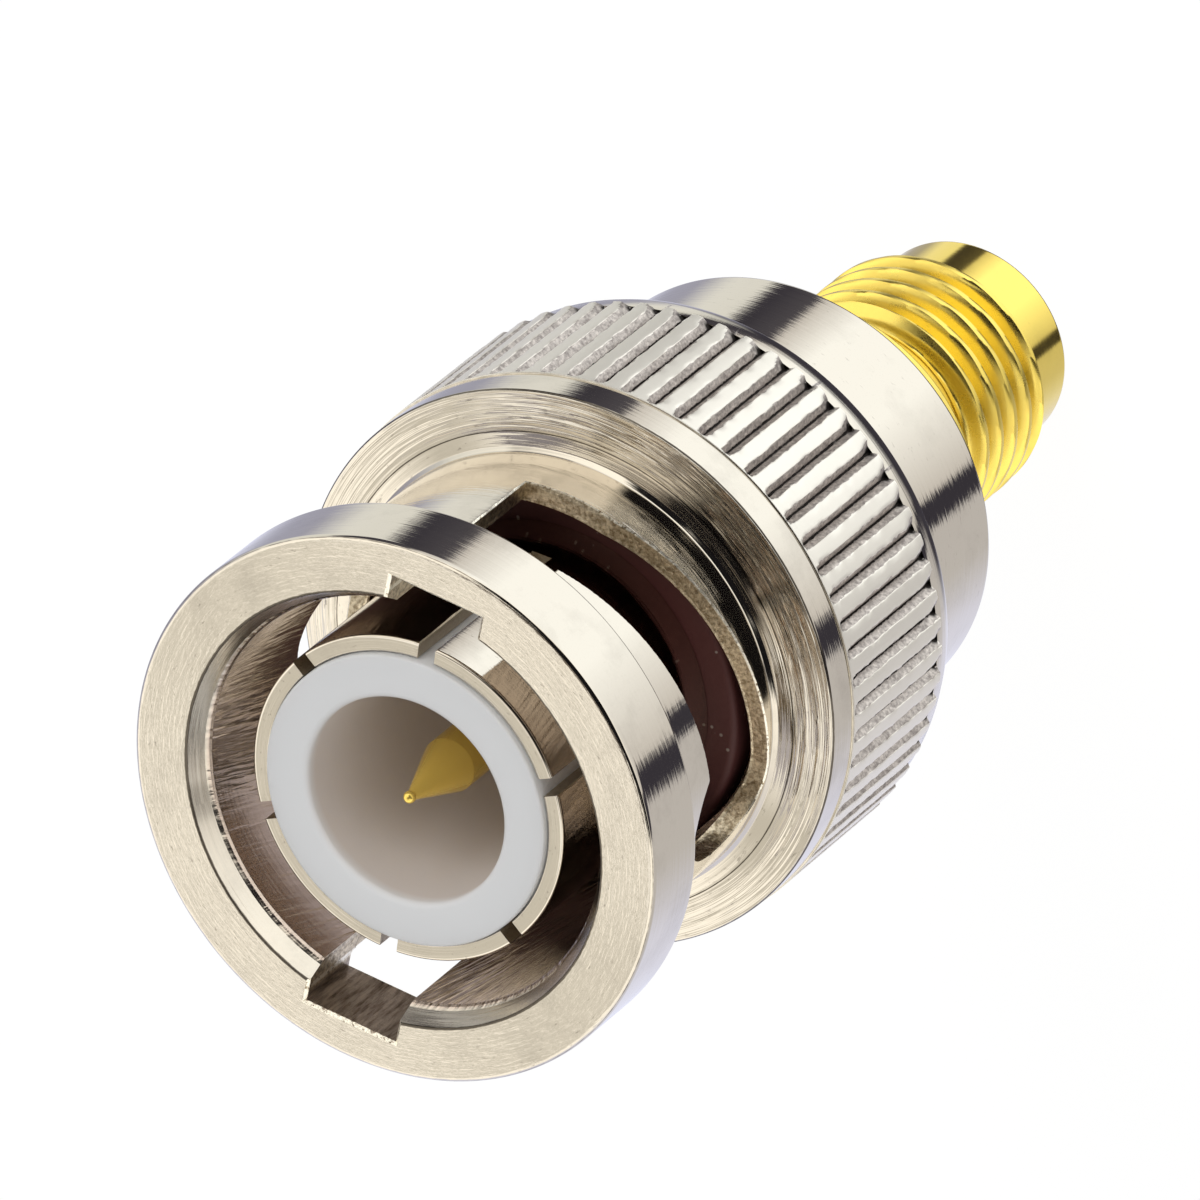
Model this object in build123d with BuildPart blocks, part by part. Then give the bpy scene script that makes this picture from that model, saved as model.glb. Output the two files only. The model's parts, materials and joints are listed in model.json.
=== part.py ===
from build123d import *
import os

# Coax adapter: bayonet plug above, threaded jack below.
# It stands on the end face of the jack. Z is the common axis, up towards the plug face.
# The origin is the centre of the jack's end face. All sizes are millimetres.

# Jack barrel, from the end face upwards
thread_radius = 3.175
lead_radius = 2.65
relief_radius = 2.75
flange_radius = 4.4
lead_length = 1.75
thread_length = 3.6
relief_length = 2.25
flange_length = 1.65
thread_chamfer = 0.35

# Jack mating face
jack_bore_radius = 2.3
jack_bore_depth = 1.95
jack_dielectric_radius = 2.05
jack_collar_length = 1.2

# Socket contact
socket_radius = 0.635
socket_bore_radius = 0.475
socket_bore_depth = 3.0
socket_slot_width = 0.14
socket_slot_depth = 2.4
socket_slot_angles = (45, 135)
socket_hub_radius = 0.95
socket_hub_length = 1.8

# Collar behind the nut
shell_radius = 5.575
shell_length = 5.85
shell_chamfer = 0.1
jack_spigot_radius = 4.0
jack_spigot_length = 2.25

# Body of the plug
stem_below_sleeve = 0.13
tail_radius = 3.5
shoulder_height = 0.85
shoulder_length = 1.2
sleeve_radius = 4.08
sleeve_wall = 0.4
sleeve_length = 7.8
sleeve_below_face = 0.7
tail_bore_radius = 2.6
seat_bore_radius = 3.0
seat_length = 3.2
seat_below_shoulder = 1.0
finger_slot_width = 0.44
finger_slot_depth = 5.3
finger_edge_break = 0.08
finger_slot_angles = (5, 69, 121)

# Retaining ring, washers and spring on the stem
snap_ring_length = 0.5
snap_ring_gap_below = 0.15
snap_ring_width = 1.02
snap_groove_depth = 0.4
snap_ring_opening = 3.2
rear_washer_play = 0.55
rear_washer_length = 0.3
front_washer_length = 0.25
spring_sheet = 0.2

# Gasket
gasket_length = 1.0
gasket_groove_depth = 0.2

# Dielectric and pin of the plug
plug_dielectric_proud = 0.15
recess_radius = 2.57
recess_floor_above_seat = 0.6
pin_radius = 0.675
pin_tip_below_face = 0.65
pin_ball_radius = 0.15
pin_neck_radius = 0.12
pin_cone_length = 1.95
pin_shank_radius = 0.5
pin_collar_radius = 1.1
pin_collar_length = 0.5
pin_spigot_radius = 0.4
pin_spigot_length = 1.5

# Coupling nut, with depths taken from its front face
front_ring_radius = 6.82
front_ring_length = 2.0
front_ring_break = 0.13
nut_mouth_flare = 0.35
nut_mouth_depth = 0.25
neck_wall = 0.5
neck_cove = 0.45
flange_face_depth = 7.9
flange_face_slope = 0.25
rim_radius = 7.03
crest_radius = 7.08
rear_rim_radius = 6.95
front_rim_length = 0.9
knurl_length = 4.25
nut_web_length = 1.0
skirt_overlap = 1.5

# Bayonet slots
slot_count = 2
notch_width = 2.4
notch_past_neck = 0.27
notch_angle = 65.2
notch_depth = 6.4
ramp_width = 2.7
ramp_start_depth = 4.83
ramp_end_depth = 6.34
ramp_turn = 85
detent_turn = 89.7
detent_depth = 6.1
detent_radius = 1.65

# Knurl
flute_count = 63
flute_depth = 0.28
flute_half_width = 0.28
flute_run_in = 0.35
flute_end_land = 0.05

# Fits, clearances and the nut's travel against its spring
running_clearance = 0.05
seat_clearance = 0.03
sliding_gap = 0.3
skirt_gap = 0.275
nut_travel = 0.5

# Radii that follow from a fit or a wall
stem_radius = sleeve_radius - stem_below_sleeve
shoulder_radius = stem_radius + shoulder_height
nut_bore_radius = shoulder_radius + sliding_gap
nut_mouth_radius = nut_bore_radius + nut_mouth_flare
neck_radius = nut_bore_radius + neck_wall
notch_floor = neck_radius + notch_past_neck
web_bore_radius = stem_radius + running_clearance
loose_bore_radius = stem_radius + 2 * running_clearance
rear_bore_radius = shell_radius + skirt_gap
rear_washer_radius = rear_bore_radius - rear_washer_play
groove_radius = stem_radius - snap_groove_depth
snap_ring_bore_radius = groove_radius + seat_clearance
snap_ring_radius = snap_ring_bore_radius + snap_ring_width
sleeve_bore_radius = sleeve_radius - sleeve_wall
gasket_groove_radius = sleeve_radius - gasket_groove_depth
jack_collar_radius = tail_bore_radius - running_clearance
jack_hole_radius = jack_dielectric_radius + seat_clearance

# Levels above the jack's end face
thread_bottom = lead_length
thread_top = thread_bottom + thread_length
flange_bottom = thread_top + relief_length
shell_bottom = flange_bottom + flange_length
spigot_top = shell_bottom + jack_spigot_length
shell_top = shell_bottom + shell_length
snap_ring_bottom = shell_top + snap_ring_gap_below
snap_ring_top = snap_ring_bottom + snap_ring_length
web_bottom = snap_ring_top + rear_washer_length
web_top = web_bottom + nut_web_length
spring_top = web_top + spring_sheet + nut_travel
shoulder_bottom = spring_top + front_washer_length
shoulder_top = shoulder_bottom + shoulder_length
gasket_top = shoulder_top + gasket_length
sleeve_top = shoulder_top + sleeve_length
nut_top = sleeve_top + sleeve_below_face
nut_bottom = shell_top - skirt_overlap
seat_bottom = shoulder_bottom - seat_below_shoulder
seat_top = seat_bottom + seat_length
recess_floor = seat_top + recess_floor_above_seat
dielectric_top = sleeve_top + plug_dielectric_proud
pin_tip = nut_top - pin_tip_below_face

os.makedirs("parts", exist_ok=True)

# Coupling nut: one turned profile with a many-sided knurl band, then the slots and flutes are cut
flange_face = nut_top - flange_face_depth
flange_edge = flange_face - flange_face_slope
crest_top = flange_edge - front_rim_length
crest_bottom = crest_top - knurl_length

# Entry notch: straight down from the front face, flat floor, square corners
with BuildPart() as notch_cutter:
    with BuildSketch(Plane.XY.offset(nut_top - notch_depth)):
        with Locations((notch_floor / 2, 0)):
            Rectangle(notch_floor, notch_width)
    extrude(amount=notch_depth + front_ring_length)

# Ramp: a radial section carried along a helix from the detent up to the notch
ramp_drop = ramp_end_depth - ramp_start_depth
ramp_section = nut_mouth_radius - stem_radius
with BuildPart() as ramp_cutter:
    with BuildLine() as ramp_path:
        Helix(
            pitch=ramp_drop * 360 / ramp_turn,
            height=ramp_drop,
            radius=neck_radius,
            center=(0, 0, nut_top - ramp_end_depth),
        )
    with BuildSketch(Plane.XZ):
        with Locations((neck_radius, nut_top - ramp_end_depth)):
            Rectangle(ramp_section, ramp_width)
    sweep(path=ramp_path.line, is_frenet=True)

# Detent: a round pocket at the end of the ramp, drilled towards the axis
detent_plane = Plane(origin=(0, 0, nut_top - detent_depth), z_dir=(1, 0, 0))
with BuildPart() as detent_cutter:
    with BuildSketch(detent_plane.offset(sleeve_radius)):
        Circle(detent_radius)
    extrude(amount=front_ring_radius - sleeve_radius)

# Knurl flute: a V across, rising to a run-in at its front end and open at its rear end
flute_root = crest_radius - flute_depth
flute_top = crest_top - flute_end_land
flute_rise = flute_run_in - flute_end_land
with BuildPart() as flute_cutter:
    with BuildSketch(Plane.XY.offset(crest_bottom)):
        with BuildLine():
            Polyline(
                (flute_root, 0),
                (crest_radius + flute_depth, -2 * flute_half_width),
                (crest_radius + flute_depth, 2 * flute_half_width),
                close=True,
            )
        make_face()
    extrude(amount=knurl_length)
    with BuildSketch(Plane.XZ):
        with BuildLine():
            Polyline(
                (flute_root, crest_bottom),
                (flute_root, crest_top - flute_run_in),
                (crest_radius, flute_top),
                (crest_radius + flute_depth, flute_top + flute_rise),
                (crest_radius + flute_depth, crest_bottom),
                close=True,
            )
        make_face()
    extrude(amount=2 * flute_half_width, both=True, mode=Mode.INTERSECT)

with BuildPart() as coupling_nut:
    with BuildSketch(Plane.XZ) as nut_profile:
        with BuildLine():
            Polyline(
                (nut_mouth_radius, nut_top),
                (front_ring_radius - front_ring_break, nut_top),
                (front_ring_radius, nut_top - front_ring_break),
                (front_ring_radius, nut_top - front_ring_length),
                (neck_radius, nut_top - front_ring_length),
                (neck_radius, flange_face),
                (rim_radius, flange_edge),
                (rim_radius, crest_top),
                (rear_rim_radius, crest_top),
                (rear_rim_radius, nut_bottom),
                (rear_bore_radius, nut_bottom),
                (rear_bore_radius, web_bottom),
                (web_bore_radius, web_bottom),
                (web_bore_radius, web_top),
                (nut_bore_radius, web_top),
                (nut_bore_radius, nut_top - nut_mouth_depth),
                close=True,
            )
        make_face()
        neck_root = nut_profile.vertices().sort_by_distance((neck_radius, flange_face))[0]
        chamfer(neck_root, neck_cove)
    revolve(axis=Axis.Z)
    with BuildSketch(Plane.XY.offset(crest_bottom)):
        RegularPolygon(crest_radius, flute_count)
        Circle(rear_bore_radius, mode=Mode.SUBTRACT)
    extrude(amount=knurl_length)
    with PolarLocations(0, slot_count, start_angle=notch_angle):
        add(notch_cutter.part, mode=Mode.SUBTRACT)
    with PolarLocations(0, slot_count, start_angle=notch_angle - ramp_turn):
        add(ramp_cutter.part, mode=Mode.SUBTRACT)
    with PolarLocations(0, slot_count, start_angle=notch_angle - detent_turn):
        add(detent_cutter.part, mode=Mode.SUBTRACT)
    with PolarLocations(0, flute_count):
        add(flute_cutter.part, mode=Mode.SUBTRACT)
coupling_nut.part.label = "coupling_nut"
export_step(coupling_nut.part, "parts/coupling_nut.step")

# Body of the plug: spring fingers, shoulder, stem and tail in one turned piece
groove_bottom = snap_ring_bottom - seat_clearance
groove_top = snap_ring_top + seat_clearance
with BuildPart() as plug_body:
    with BuildSketch(Plane.XZ):
        with BuildLine():
            Polyline(
                (sleeve_bore_radius, sleeve_top),
                (sleeve_radius - finger_edge_break, sleeve_top),
                (sleeve_radius, sleeve_top - finger_edge_break),
                (sleeve_radius, gasket_top),
                (gasket_groove_radius, gasket_top),
                (gasket_groove_radius, shoulder_top),
                (shoulder_radius, shoulder_top),
                (shoulder_radius, shoulder_bottom),
                (stem_radius, shoulder_bottom),
                (stem_radius, groove_top),
                (groove_radius, groove_top),
                (groove_radius, groove_bottom),
                (stem_radius, groove_bottom),
                (stem_radius, shell_top),
                (tail_radius - seat_clearance, shell_top),
                (tail_radius - seat_clearance, spigot_top),
                (tail_bore_radius, spigot_top),
                (tail_bore_radius, seat_bottom),
                (seat_bore_radius, seat_bottom),
                (seat_bore_radius, seat_top),
                (sleeve_bore_radius, seat_top),
                close=True,
            )
        make_face()
    revolve(axis=Axis.Z)
    with BuildSketch(Plane.XY.offset(sleeve_top - finger_slot_depth)):
        for angle in finger_slot_angles:
            Rectangle(2 * shoulder_radius, finger_slot_width, rotation=angle)
    extrude(amount=finger_slot_depth, mode=Mode.SUBTRACT)
plug_body.part.label = "plug_body"
export_step(plug_body.part, "parts/plug_body.step")

# Gasket on the shoulder, in the groove at the foot of the fingers
with BuildPart() as gasket:
    with BuildSketch(Plane.XY.offset(shoulder_top)):
        Circle(shoulder_radius)
        Circle(gasket_groove_radius + seat_clearance, mode=Mode.SUBTRACT)
    extrude(amount=gasket_length)
gasket.part.label = "gasket"
export_step(gasket.part, "parts/gasket.step")

# Flat washer under the shoulder
with BuildPart() as front_washer:
    with BuildSketch(Plane.XY.offset(spring_top)):
        Circle(shoulder_radius)
        Circle(web_bore_radius, mode=Mode.SUBTRACT)
    extrude(amount=front_washer_length)
front_washer.part.label = "front_washer"
export_step(front_washer.part, "parts/front_washer.step")

# Spring washer: a ring of sheet bent to one arch between the web and the flat washer
spring_outer_arc = (shoulder_radius**2 + nut_travel**2) / (2 * nut_travel)
with BuildPart() as spring_washer:
    with BuildSketch(Plane.XY.offset(web_top)):
        Circle(shoulder_radius)
        Circle(loose_bore_radius, mode=Mode.SUBTRACT)
    extrude(amount=spring_sheet + nut_travel)
    with BuildSketch(Plane.XZ):
        with Locations((0, spring_top - spring_outer_arc)):
            Circle(spring_outer_arc)
            Circle(spring_outer_arc - spring_sheet, mode=Mode.SUBTRACT)
    extrude(amount=shoulder_radius, both=True, mode=Mode.INTERSECT)
spring_washer.part.label = "spring_washer"
export_step(spring_washer.part, "parts/spring_washer.step")

# Flat washer behind the web
with BuildPart() as rear_washer:
    with BuildSketch(Plane.XY.offset(snap_ring_top)):
        Circle(rear_washer_radius)
        Circle(loose_bore_radius, mode=Mode.SUBTRACT)
    extrude(amount=rear_washer_length)
rear_washer.part.label = "rear_washer"
export_step(rear_washer.part, "parts/rear_washer.step")

# Retaining ring, open on one side
with BuildPart() as snap_ring:
    with BuildSketch(Plane.XY.offset(snap_ring_bottom)):
        Circle(snap_ring_radius)
        Circle(snap_ring_bore_radius, mode=Mode.SUBTRACT)
        with Locations((-snap_ring_radius, 0)):
            Rectangle(snap_ring_radius, snap_ring_opening, mode=Mode.SUBTRACT)
    extrude(amount=snap_ring_length)
snap_ring.part.label = "snap_ring"
export_step(snap_ring.part, "parts/snap_ring.step")

# Smooth collar pressed on the tail, carrying the jack
with BuildPart() as rear_shell:
    with BuildSketch(Plane.XZ):
        with BuildLine():
            Polyline(
                (jack_spigot_radius, shell_bottom),
                (shell_radius - shell_chamfer, shell_bottom),
                (shell_radius, shell_bottom + shell_chamfer),
                (shell_radius, shell_top),
                (tail_radius, shell_top),
                (tail_radius, spigot_top),
                (jack_spigot_radius, spigot_top),
                close=True,
            )
        make_face()
    revolve(axis=Axis.Z)
rear_shell.part.label = "rear_shell"
export_step(rear_shell.part, "parts/rear_shell.step")

# Jack: flange, relief, barrel for the thread and plain lead
with BuildPart() as jack_body:
    with BuildSketch(Plane.XZ):
        with BuildLine():
            Polyline(
                (jack_bore_radius, 0),
                (lead_radius, 0),
                (lead_radius, thread_bottom),
                (thread_radius - thread_chamfer, thread_bottom),
                (thread_radius, thread_bottom + thread_chamfer),
                (thread_radius, thread_top - thread_chamfer),
                (thread_radius - thread_chamfer, thread_top),
                (relief_radius, thread_top),
                (relief_radius, flange_bottom),
                (flange_radius, flange_bottom),
                (flange_radius, shell_bottom),
                (jack_spigot_radius - seat_clearance, shell_bottom),
                (jack_spigot_radius - seat_clearance, spigot_top),
                (jack_hole_radius, spigot_top),
                (jack_hole_radius, jack_bore_depth),
                (jack_bore_radius, jack_bore_depth),
                close=True,
            )
        make_face()
    revolve(axis=Axis.Z)
jack_body.part.label = "jack_body"
export_step(jack_body.part, "parts/jack_body.step")

# Dielectric of the jack, held by its collar inside the tail
collar_top = spigot_top + jack_collar_length
with BuildPart() as jack_insulator:
    with BuildSketch(Plane.XZ):
        with BuildLine():
            Polyline(
                (socket_radius + seat_clearance, jack_bore_depth),
                (jack_dielectric_radius, jack_bore_depth),
                (jack_dielectric_radius, spigot_top),
                (jack_collar_radius, spigot_top),
                (jack_collar_radius, collar_top),
                (socket_radius + seat_clearance, collar_top),
                close=True,
            )
        make_face()
    revolve(axis=Axis.Z)
jack_insulator.part.label = "jack_insulator"
export_step(jack_insulator.part, "parts/jack_insulator.step")

# Socket contact: slotted at the mating end, with a hub that takes the pin
hub_top = collar_top + socket_hub_length
with BuildPart() as socket_contact:
    with BuildSketch(Plane.XZ):
        with BuildLine():
            Polyline(
                (socket_bore_radius, jack_bore_depth),
                (socket_radius, jack_bore_depth),
                (socket_radius, collar_top),
                (socket_hub_radius, collar_top),
                (socket_hub_radius, hub_top),
                (pin_spigot_radius + seat_clearance, hub_top),
                (pin_spigot_radius + seat_clearance, hub_top - pin_spigot_length),
                (0, hub_top - pin_spigot_length),
                (0, jack_bore_depth + socket_bore_depth),
                (socket_bore_radius, jack_bore_depth + socket_bore_depth),
                close=True,
            )
        make_face()
    revolve(axis=Axis.Z)
    with BuildSketch(Plane.XY.offset(jack_bore_depth)):
        for angle in socket_slot_angles:
            Rectangle(2 * socket_hub_radius, socket_slot_width, rotation=angle)
    extrude(amount=socket_slot_depth, mode=Mode.SUBTRACT)
socket_contact.part.label = "socket_contact"
export_step(socket_contact.part, "parts/socket_contact.step")

# Dielectric of the plug: seated in the body, with the deep recess open to the front
with BuildPart() as plug_insulator:
    with BuildSketch(Plane.XZ):
        with BuildLine():
            Polyline(
                (recess_radius, dielectric_top),
                (sleeve_bore_radius - seat_clearance, dielectric_top),
                (sleeve_bore_radius - seat_clearance, seat_top),
                (seat_bore_radius - seat_clearance, seat_top),
                (seat_bore_radius - seat_clearance, seat_bottom),
                (pin_shank_radius + seat_clearance, seat_bottom),
                (pin_shank_radius + seat_clearance, recess_floor),
                (recess_radius, recess_floor),
                close=True,
            )
        make_face()
    revolve(axis=Axis.Z)
plug_insulator.part.label = "plug_insulator"
export_step(plug_insulator.part, "parts/plug_insulator.step")

# Centre pin: spigot, shank with a collar, then the contact with its long cone and ball tip
ball_centre = pin_tip - pin_ball_radius
ball_start = ball_centre - (pin_ball_radius**2 - pin_neck_radius**2) ** 0.5
cone_base = pin_tip - pin_cone_length
with BuildPart() as centre_pin:
    with BuildSketch(Plane.XZ):
        with BuildLine():
            Polyline(
                (0, pin_tip),
                (0, hub_top - pin_spigot_length),
                (pin_spigot_radius, hub_top - pin_spigot_length),
                (pin_spigot_radius, hub_top),
                (pin_shank_radius, hub_top),
                (pin_shank_radius, seat_bottom - pin_collar_length),
                (pin_collar_radius, seat_bottom - pin_collar_length),
                (pin_collar_radius, seat_bottom),
                (pin_shank_radius, seat_bottom),
                (pin_shank_radius, recess_floor),
                (pin_radius, recess_floor),
                (pin_radius, cone_base),
                (pin_neck_radius, ball_start),
            )
            ThreePointArc(
                (pin_neck_radius, ball_start),
                (pin_ball_radius, ball_centre),
                (0, pin_tip),
            )
        make_face()
    revolve(axis=Axis.Z)
centre_pin.part.label = "centre_pin"
export_step(centre_pin.part, "parts/centre_pin.step")
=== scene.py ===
import json
import math
import random

import bmesh
import bpy
from mathutils import Matrix, Vector


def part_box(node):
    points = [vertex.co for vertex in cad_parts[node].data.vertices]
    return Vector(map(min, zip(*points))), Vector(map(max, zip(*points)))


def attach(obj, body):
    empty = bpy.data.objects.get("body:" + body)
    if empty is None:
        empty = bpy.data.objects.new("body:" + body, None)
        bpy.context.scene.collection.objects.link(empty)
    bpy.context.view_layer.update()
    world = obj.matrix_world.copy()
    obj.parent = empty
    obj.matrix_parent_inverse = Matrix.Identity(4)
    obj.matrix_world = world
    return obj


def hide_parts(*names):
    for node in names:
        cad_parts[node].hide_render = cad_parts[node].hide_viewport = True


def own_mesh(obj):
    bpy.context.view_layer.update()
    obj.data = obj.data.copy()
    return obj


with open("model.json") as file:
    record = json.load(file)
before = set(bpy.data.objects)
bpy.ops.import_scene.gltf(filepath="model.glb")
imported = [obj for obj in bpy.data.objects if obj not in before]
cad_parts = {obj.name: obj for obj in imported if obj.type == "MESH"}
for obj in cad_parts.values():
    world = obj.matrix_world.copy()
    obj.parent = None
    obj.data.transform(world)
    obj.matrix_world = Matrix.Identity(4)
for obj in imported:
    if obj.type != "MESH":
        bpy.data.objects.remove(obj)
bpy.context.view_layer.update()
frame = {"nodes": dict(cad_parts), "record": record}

bl_info = {
    "name": "Coax adapter",
    "version": (1, 0, 0),
    "blender": (4, 5, 0),
    "location": "View3D > Sidebar > Adapter",
    "description": "Dresses the packed coax adapter: bayonet plug above, threaded jack below",
    "category": "Object",
}

MM = 0.001
TURN = 2 * math.pi
# Edges that bend by more than this stay sharp
SHARP_ANGLE = math.radians(32)
# Points nearer to each other than this are one
MERGE = 0.0008 * MM


# Small tools


def linear(code):
    """A colour written as sRGB hex, as linear RGBA."""
    parts = [int(code[i : i + 2], 16) / 255 for i in (1, 3, 5)]
    return tuple(c / 12.92 if c <= 0.04045 else ((c + 0.055) / 1.055) ** 2.4 for c in parts) + (1.0,)


def wire(tree, made, sockets):
    """Sets a node's inputs, given by name or number, or in order.

    A value may also be the output that feeds the input, or a node, which stands for its first output."""
    pairs = sockets.items() if isinstance(sockets, dict) else enumerate(sockets)
    for key, value in pairs:
        if isinstance(value, bpy.types.Node):
            value = value.outputs[0]
        if isinstance(value, bpy.types.NodeSocket):
            tree.links.new(value, made.inputs[key])
        else:
            made.inputs[key].default_value = value


def node(tree, kind, sockets=(), **settings):
    """Adds a node with its settings and links."""
    made = tree.nodes.new(kind)
    for key, value in settings.items():
        setattr(made, key, value)
    wire(tree, made, sockets)
    return made


def length(name, description, millimetres):
    """A size that the user may change, in Blender's metres."""
    return bpy.props.FloatProperty(
        name=name, description=description, default=millimetres * MM, min=0, unit="LENGTH", precision=5
    )


def colour(name, description, code):
    """A colour that the user may change."""
    return bpy.props.FloatVectorProperty(
        name=name, description=description, default=linear(code), size=4, subtype="COLOR", min=0, max=1
    )


def rounded(corners, steps=4, support=0.015 * MM):
    """A closed outline of (radius, height, fillet) corners.

    A fillet is short chords, with one more point just beyond each end, which keeps flat faces flat."""
    points = []
    count = len(corners)
    for i, (r, z, fillet) in enumerate(corners):
        here = Vector((r, z))
        if fillet == 0:
            points.append(here)
            continue
        before = Vector(corners[i - 1][:2]) - here
        after = Vector(corners[(i + 1) % count][:2]) - here
        half = before.angle(after) / 2
        reach = fillet / math.tan(half)
        start = here + before.normalized() * reach
        end = here + after.normalized() * reach
        centre = here + (before.normalized() + after.normalized()).normalized() * (fillet / math.sin(half))
        roomy = reach + support < min(before.length, after.length) / 2
        if roomy:
            points.append(start + before.normalized() * support)
        arm = start - centre
        sweep = arm.angle_signed(end - centre)
        for k in range(steps + 1):
            turn = -sweep * k / steps
            across = arm.x * math.cos(turn) - arm.y * math.sin(turn)
            along = arm.x * math.sin(turn) + arm.y * math.cos(turn)
            points.append(centre + Vector((across, along)))
        if roomy:
            points.append(end + after.normalized() * support)
    return points


def evenly(count):
    """Angles of equal columns round the axis."""
    return [TURN * k / count for k in range(count)]


def turned(outline, angles):
    """Vertices and quads of a closed outline turned about Z."""
    rows = len(outline)
    columns = len(angles)
    verts = [(p.x * math.cos(a), p.x * math.sin(a), p.y) for p in outline for a in angles]
    faces = []
    for i in range(rows):
        k = (i + 1) % rows
        if outline[i].x < MERGE and outline[k].x < MERGE:
            continue
        for j in range(columns):
            m = (j + 1) % columns
            faces.append((i * columns + j, i * columns + m, k * columns + m, k * columns + j))
    return verts, faces


def plain_object(name, verts, faces):
    """A mesh object at the origin, linked to the scene."""
    mesh = bpy.data.meshes.new(name)
    mesh.from_pydata(verts, [], faces)
    made = bpy.data.objects.new(name, mesh)
    bpy.context.scene.collection.objects.link(made)
    return made


def cleaned(obj):
    """Merges doubles, points the faces outward, and keeps only real edges sharp."""
    work = bmesh.new()
    work.from_mesh(obj.data)
    bmesh.ops.remove_doubles(work, verts=work.verts, dist=MERGE)
    bmesh.ops.dissolve_degenerate(work, edges=work.edges, dist=MERGE / 4)
    bmesh.ops.recalc_face_normals(work, faces=work.faces)
    for face in work.faces:
        face.smooth = True
    for edge in work.edges:
        edge.smooth = len(edge.link_faces) == 2 and edge.calc_face_angle() < SHARP_ANGLE
    work.to_mesh(obj.data)
    work.free()
    return obj


def applied(obj):
    """Turns what the modifiers make into the object's plain mesh."""
    shown = obj.evaluated_get(bpy.context.evaluated_depsgraph_get())
    mesh = bpy.data.meshes.new_from_object(shown)
    obj.modifiers.clear()
    obj.data = mesh
    return obj


def dressed(obj, body, slot, *nodes):
    """Finishes a piece: its material from its slot, its body and the solids that it stands for."""
    if not obj.data.materials:
        obj.data.materials.append(finishes()[slot])
    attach(obj, body)
    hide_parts(*nodes)


def nodes_modifier(obj, tree, values):
    """Puts a Geometry Nodes tree on an object and sets its inputs by name."""
    modifier = obj.modifiers.new(tree.name, "NODES")
    modifier.node_group = tree
    for item in tree.interface.items_tree:
        if item.in_out == "INPUT" and item.name in values:
            modifier[item.identifier] = values[item.name]


def new_tree(name, inputs):
    """An empty Geometry Nodes tree with named inputs: the tree, what it is given and its output node."""
    tree = bpy.data.node_groups.new(name, "GeometryNodeTree")
    tree.interface.new_socket(name="Geometry", in_out="INPUT", socket_type="NodeSocketGeometry")
    for label, kind in inputs.items():
        tree.interface.new_socket(name=label, in_out="INPUT", socket_type="NodeSocket" + kind)
    tree.interface.new_socket(name="Geometry", in_out="OUTPUT", socket_type="NodeSocketGeometry")
    return tree, tree.nodes.new("NodeGroupInput").outputs, tree.nodes.new("NodeGroupOutput")


def from_axis(tree):
    """The way from the axis to each point, level with the point, and how long it is."""
    place = node(tree, "GeometryNodeInputPosition")
    flat = node(tree, "ShaderNodeVectorMath", (place, (1, 1, 0)), operation="MULTIPLY")
    return flat, node(tree, "ShaderNodeVectorMath", (flat,), operation="LENGTH").outputs["Value"]


def radial_move(tree, geometry, radius, selection):
    """Moves points along their own radius to a new one, keeping their height and angle."""
    flat, old = from_axis(tree)
    scale = node(tree, "ShaderNodeMath", (radius, old), operation="DIVIDE")
    share = node(tree, "ShaderNodeMath", (scale, 1.0), operation="SUBTRACT")
    shift = node(tree, "ShaderNodeVectorMath", {0: flat, "Scale": share}, operation="SCALE")
    moved = {"Geometry": geometry, "Selection": selection, "Offset": shift}
    return node(tree, "GeometryNodeSetPosition", moved)


def polar_angle(tree):
    """The angle of each point about Z, and its height."""
    parts = node(tree, "ShaderNodeSeparateXYZ", (node(tree, "GeometryNodeInputPosition"),)).outputs
    return node(tree, "ShaderNodeMath", (parts["Y"], parts["X"]), operation="ARCTAN2"), parts["Z"]


def marked_points(tree, name):
    """A selection of the points that a mark on the mesh sets, and the mark itself."""
    mark = node(tree, "GeometryNodeInputNamedAttribute", {"Name": name}, data_type="FLOAT")
    chosen = node(tree, "FunctionNodeCompare", (mark, 0.5), data_type="FLOAT", operation="GREATER_THAN")
    return chosen, mark


def close_tree(tree, given, geometry, result):
    """Ends a tree as the export needs it: real geometry with its material."""
    real = node(tree, "GeometryNodeRealizeInstances", (geometry,))
    finished = node(tree, "GeometryNodeSetMaterial", {"Geometry": real, "Material": given["Material"]})
    wire(tree, result, {"Geometry": finished})


# Settings


class NutSettings(bpy.types.PropertyGroup):
    """Sizes of the coupling nut."""

    front_radius: length("Front ring radius", "Outside of the ring at the mouth", 6.82)
    front_length: length("Front ring length", "Length of the ring at the mouth", 2.0)
    bore_radius: length("Bore radius", "Bore that the mating shell enters", 5.1)
    neck_radius: length("Neck radius", "Smooth neck with the bayonet slots", 5.6)
    flange_depth: length("Flange depth", "From the front face to the root of the flange face", 7.9)
    rim_radius: length("Rim radius", "Plain rim in front of the knurl", 7.03)
    crest_radius: length("Crest radius", "Over the crests of the knurl", 7.07)
    rear_radius: length("Rear rim radius", "Plain rim behind the knurl", 6.95)
    knurl_length: length("Knurl length", "Length of the flutes", 4.25)
    flute_count: bpy.props.IntProperty(name="Flutes", description="Flutes of the knurl", default=63, min=12)
    flute_depth: length("Flute depth", "Depth of each flute under the crests", 0.2)
    slot_count: bpy.props.IntProperty(name="Slots", description="Bayonet slots", default=2, min=1)
    notch_angle: bpy.props.FloatProperty(
        name="Notch angle",
        description="Angle of the first entry notch from X",
        default=math.radians(65.2),
        unit="ROTATION",
    )


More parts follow.
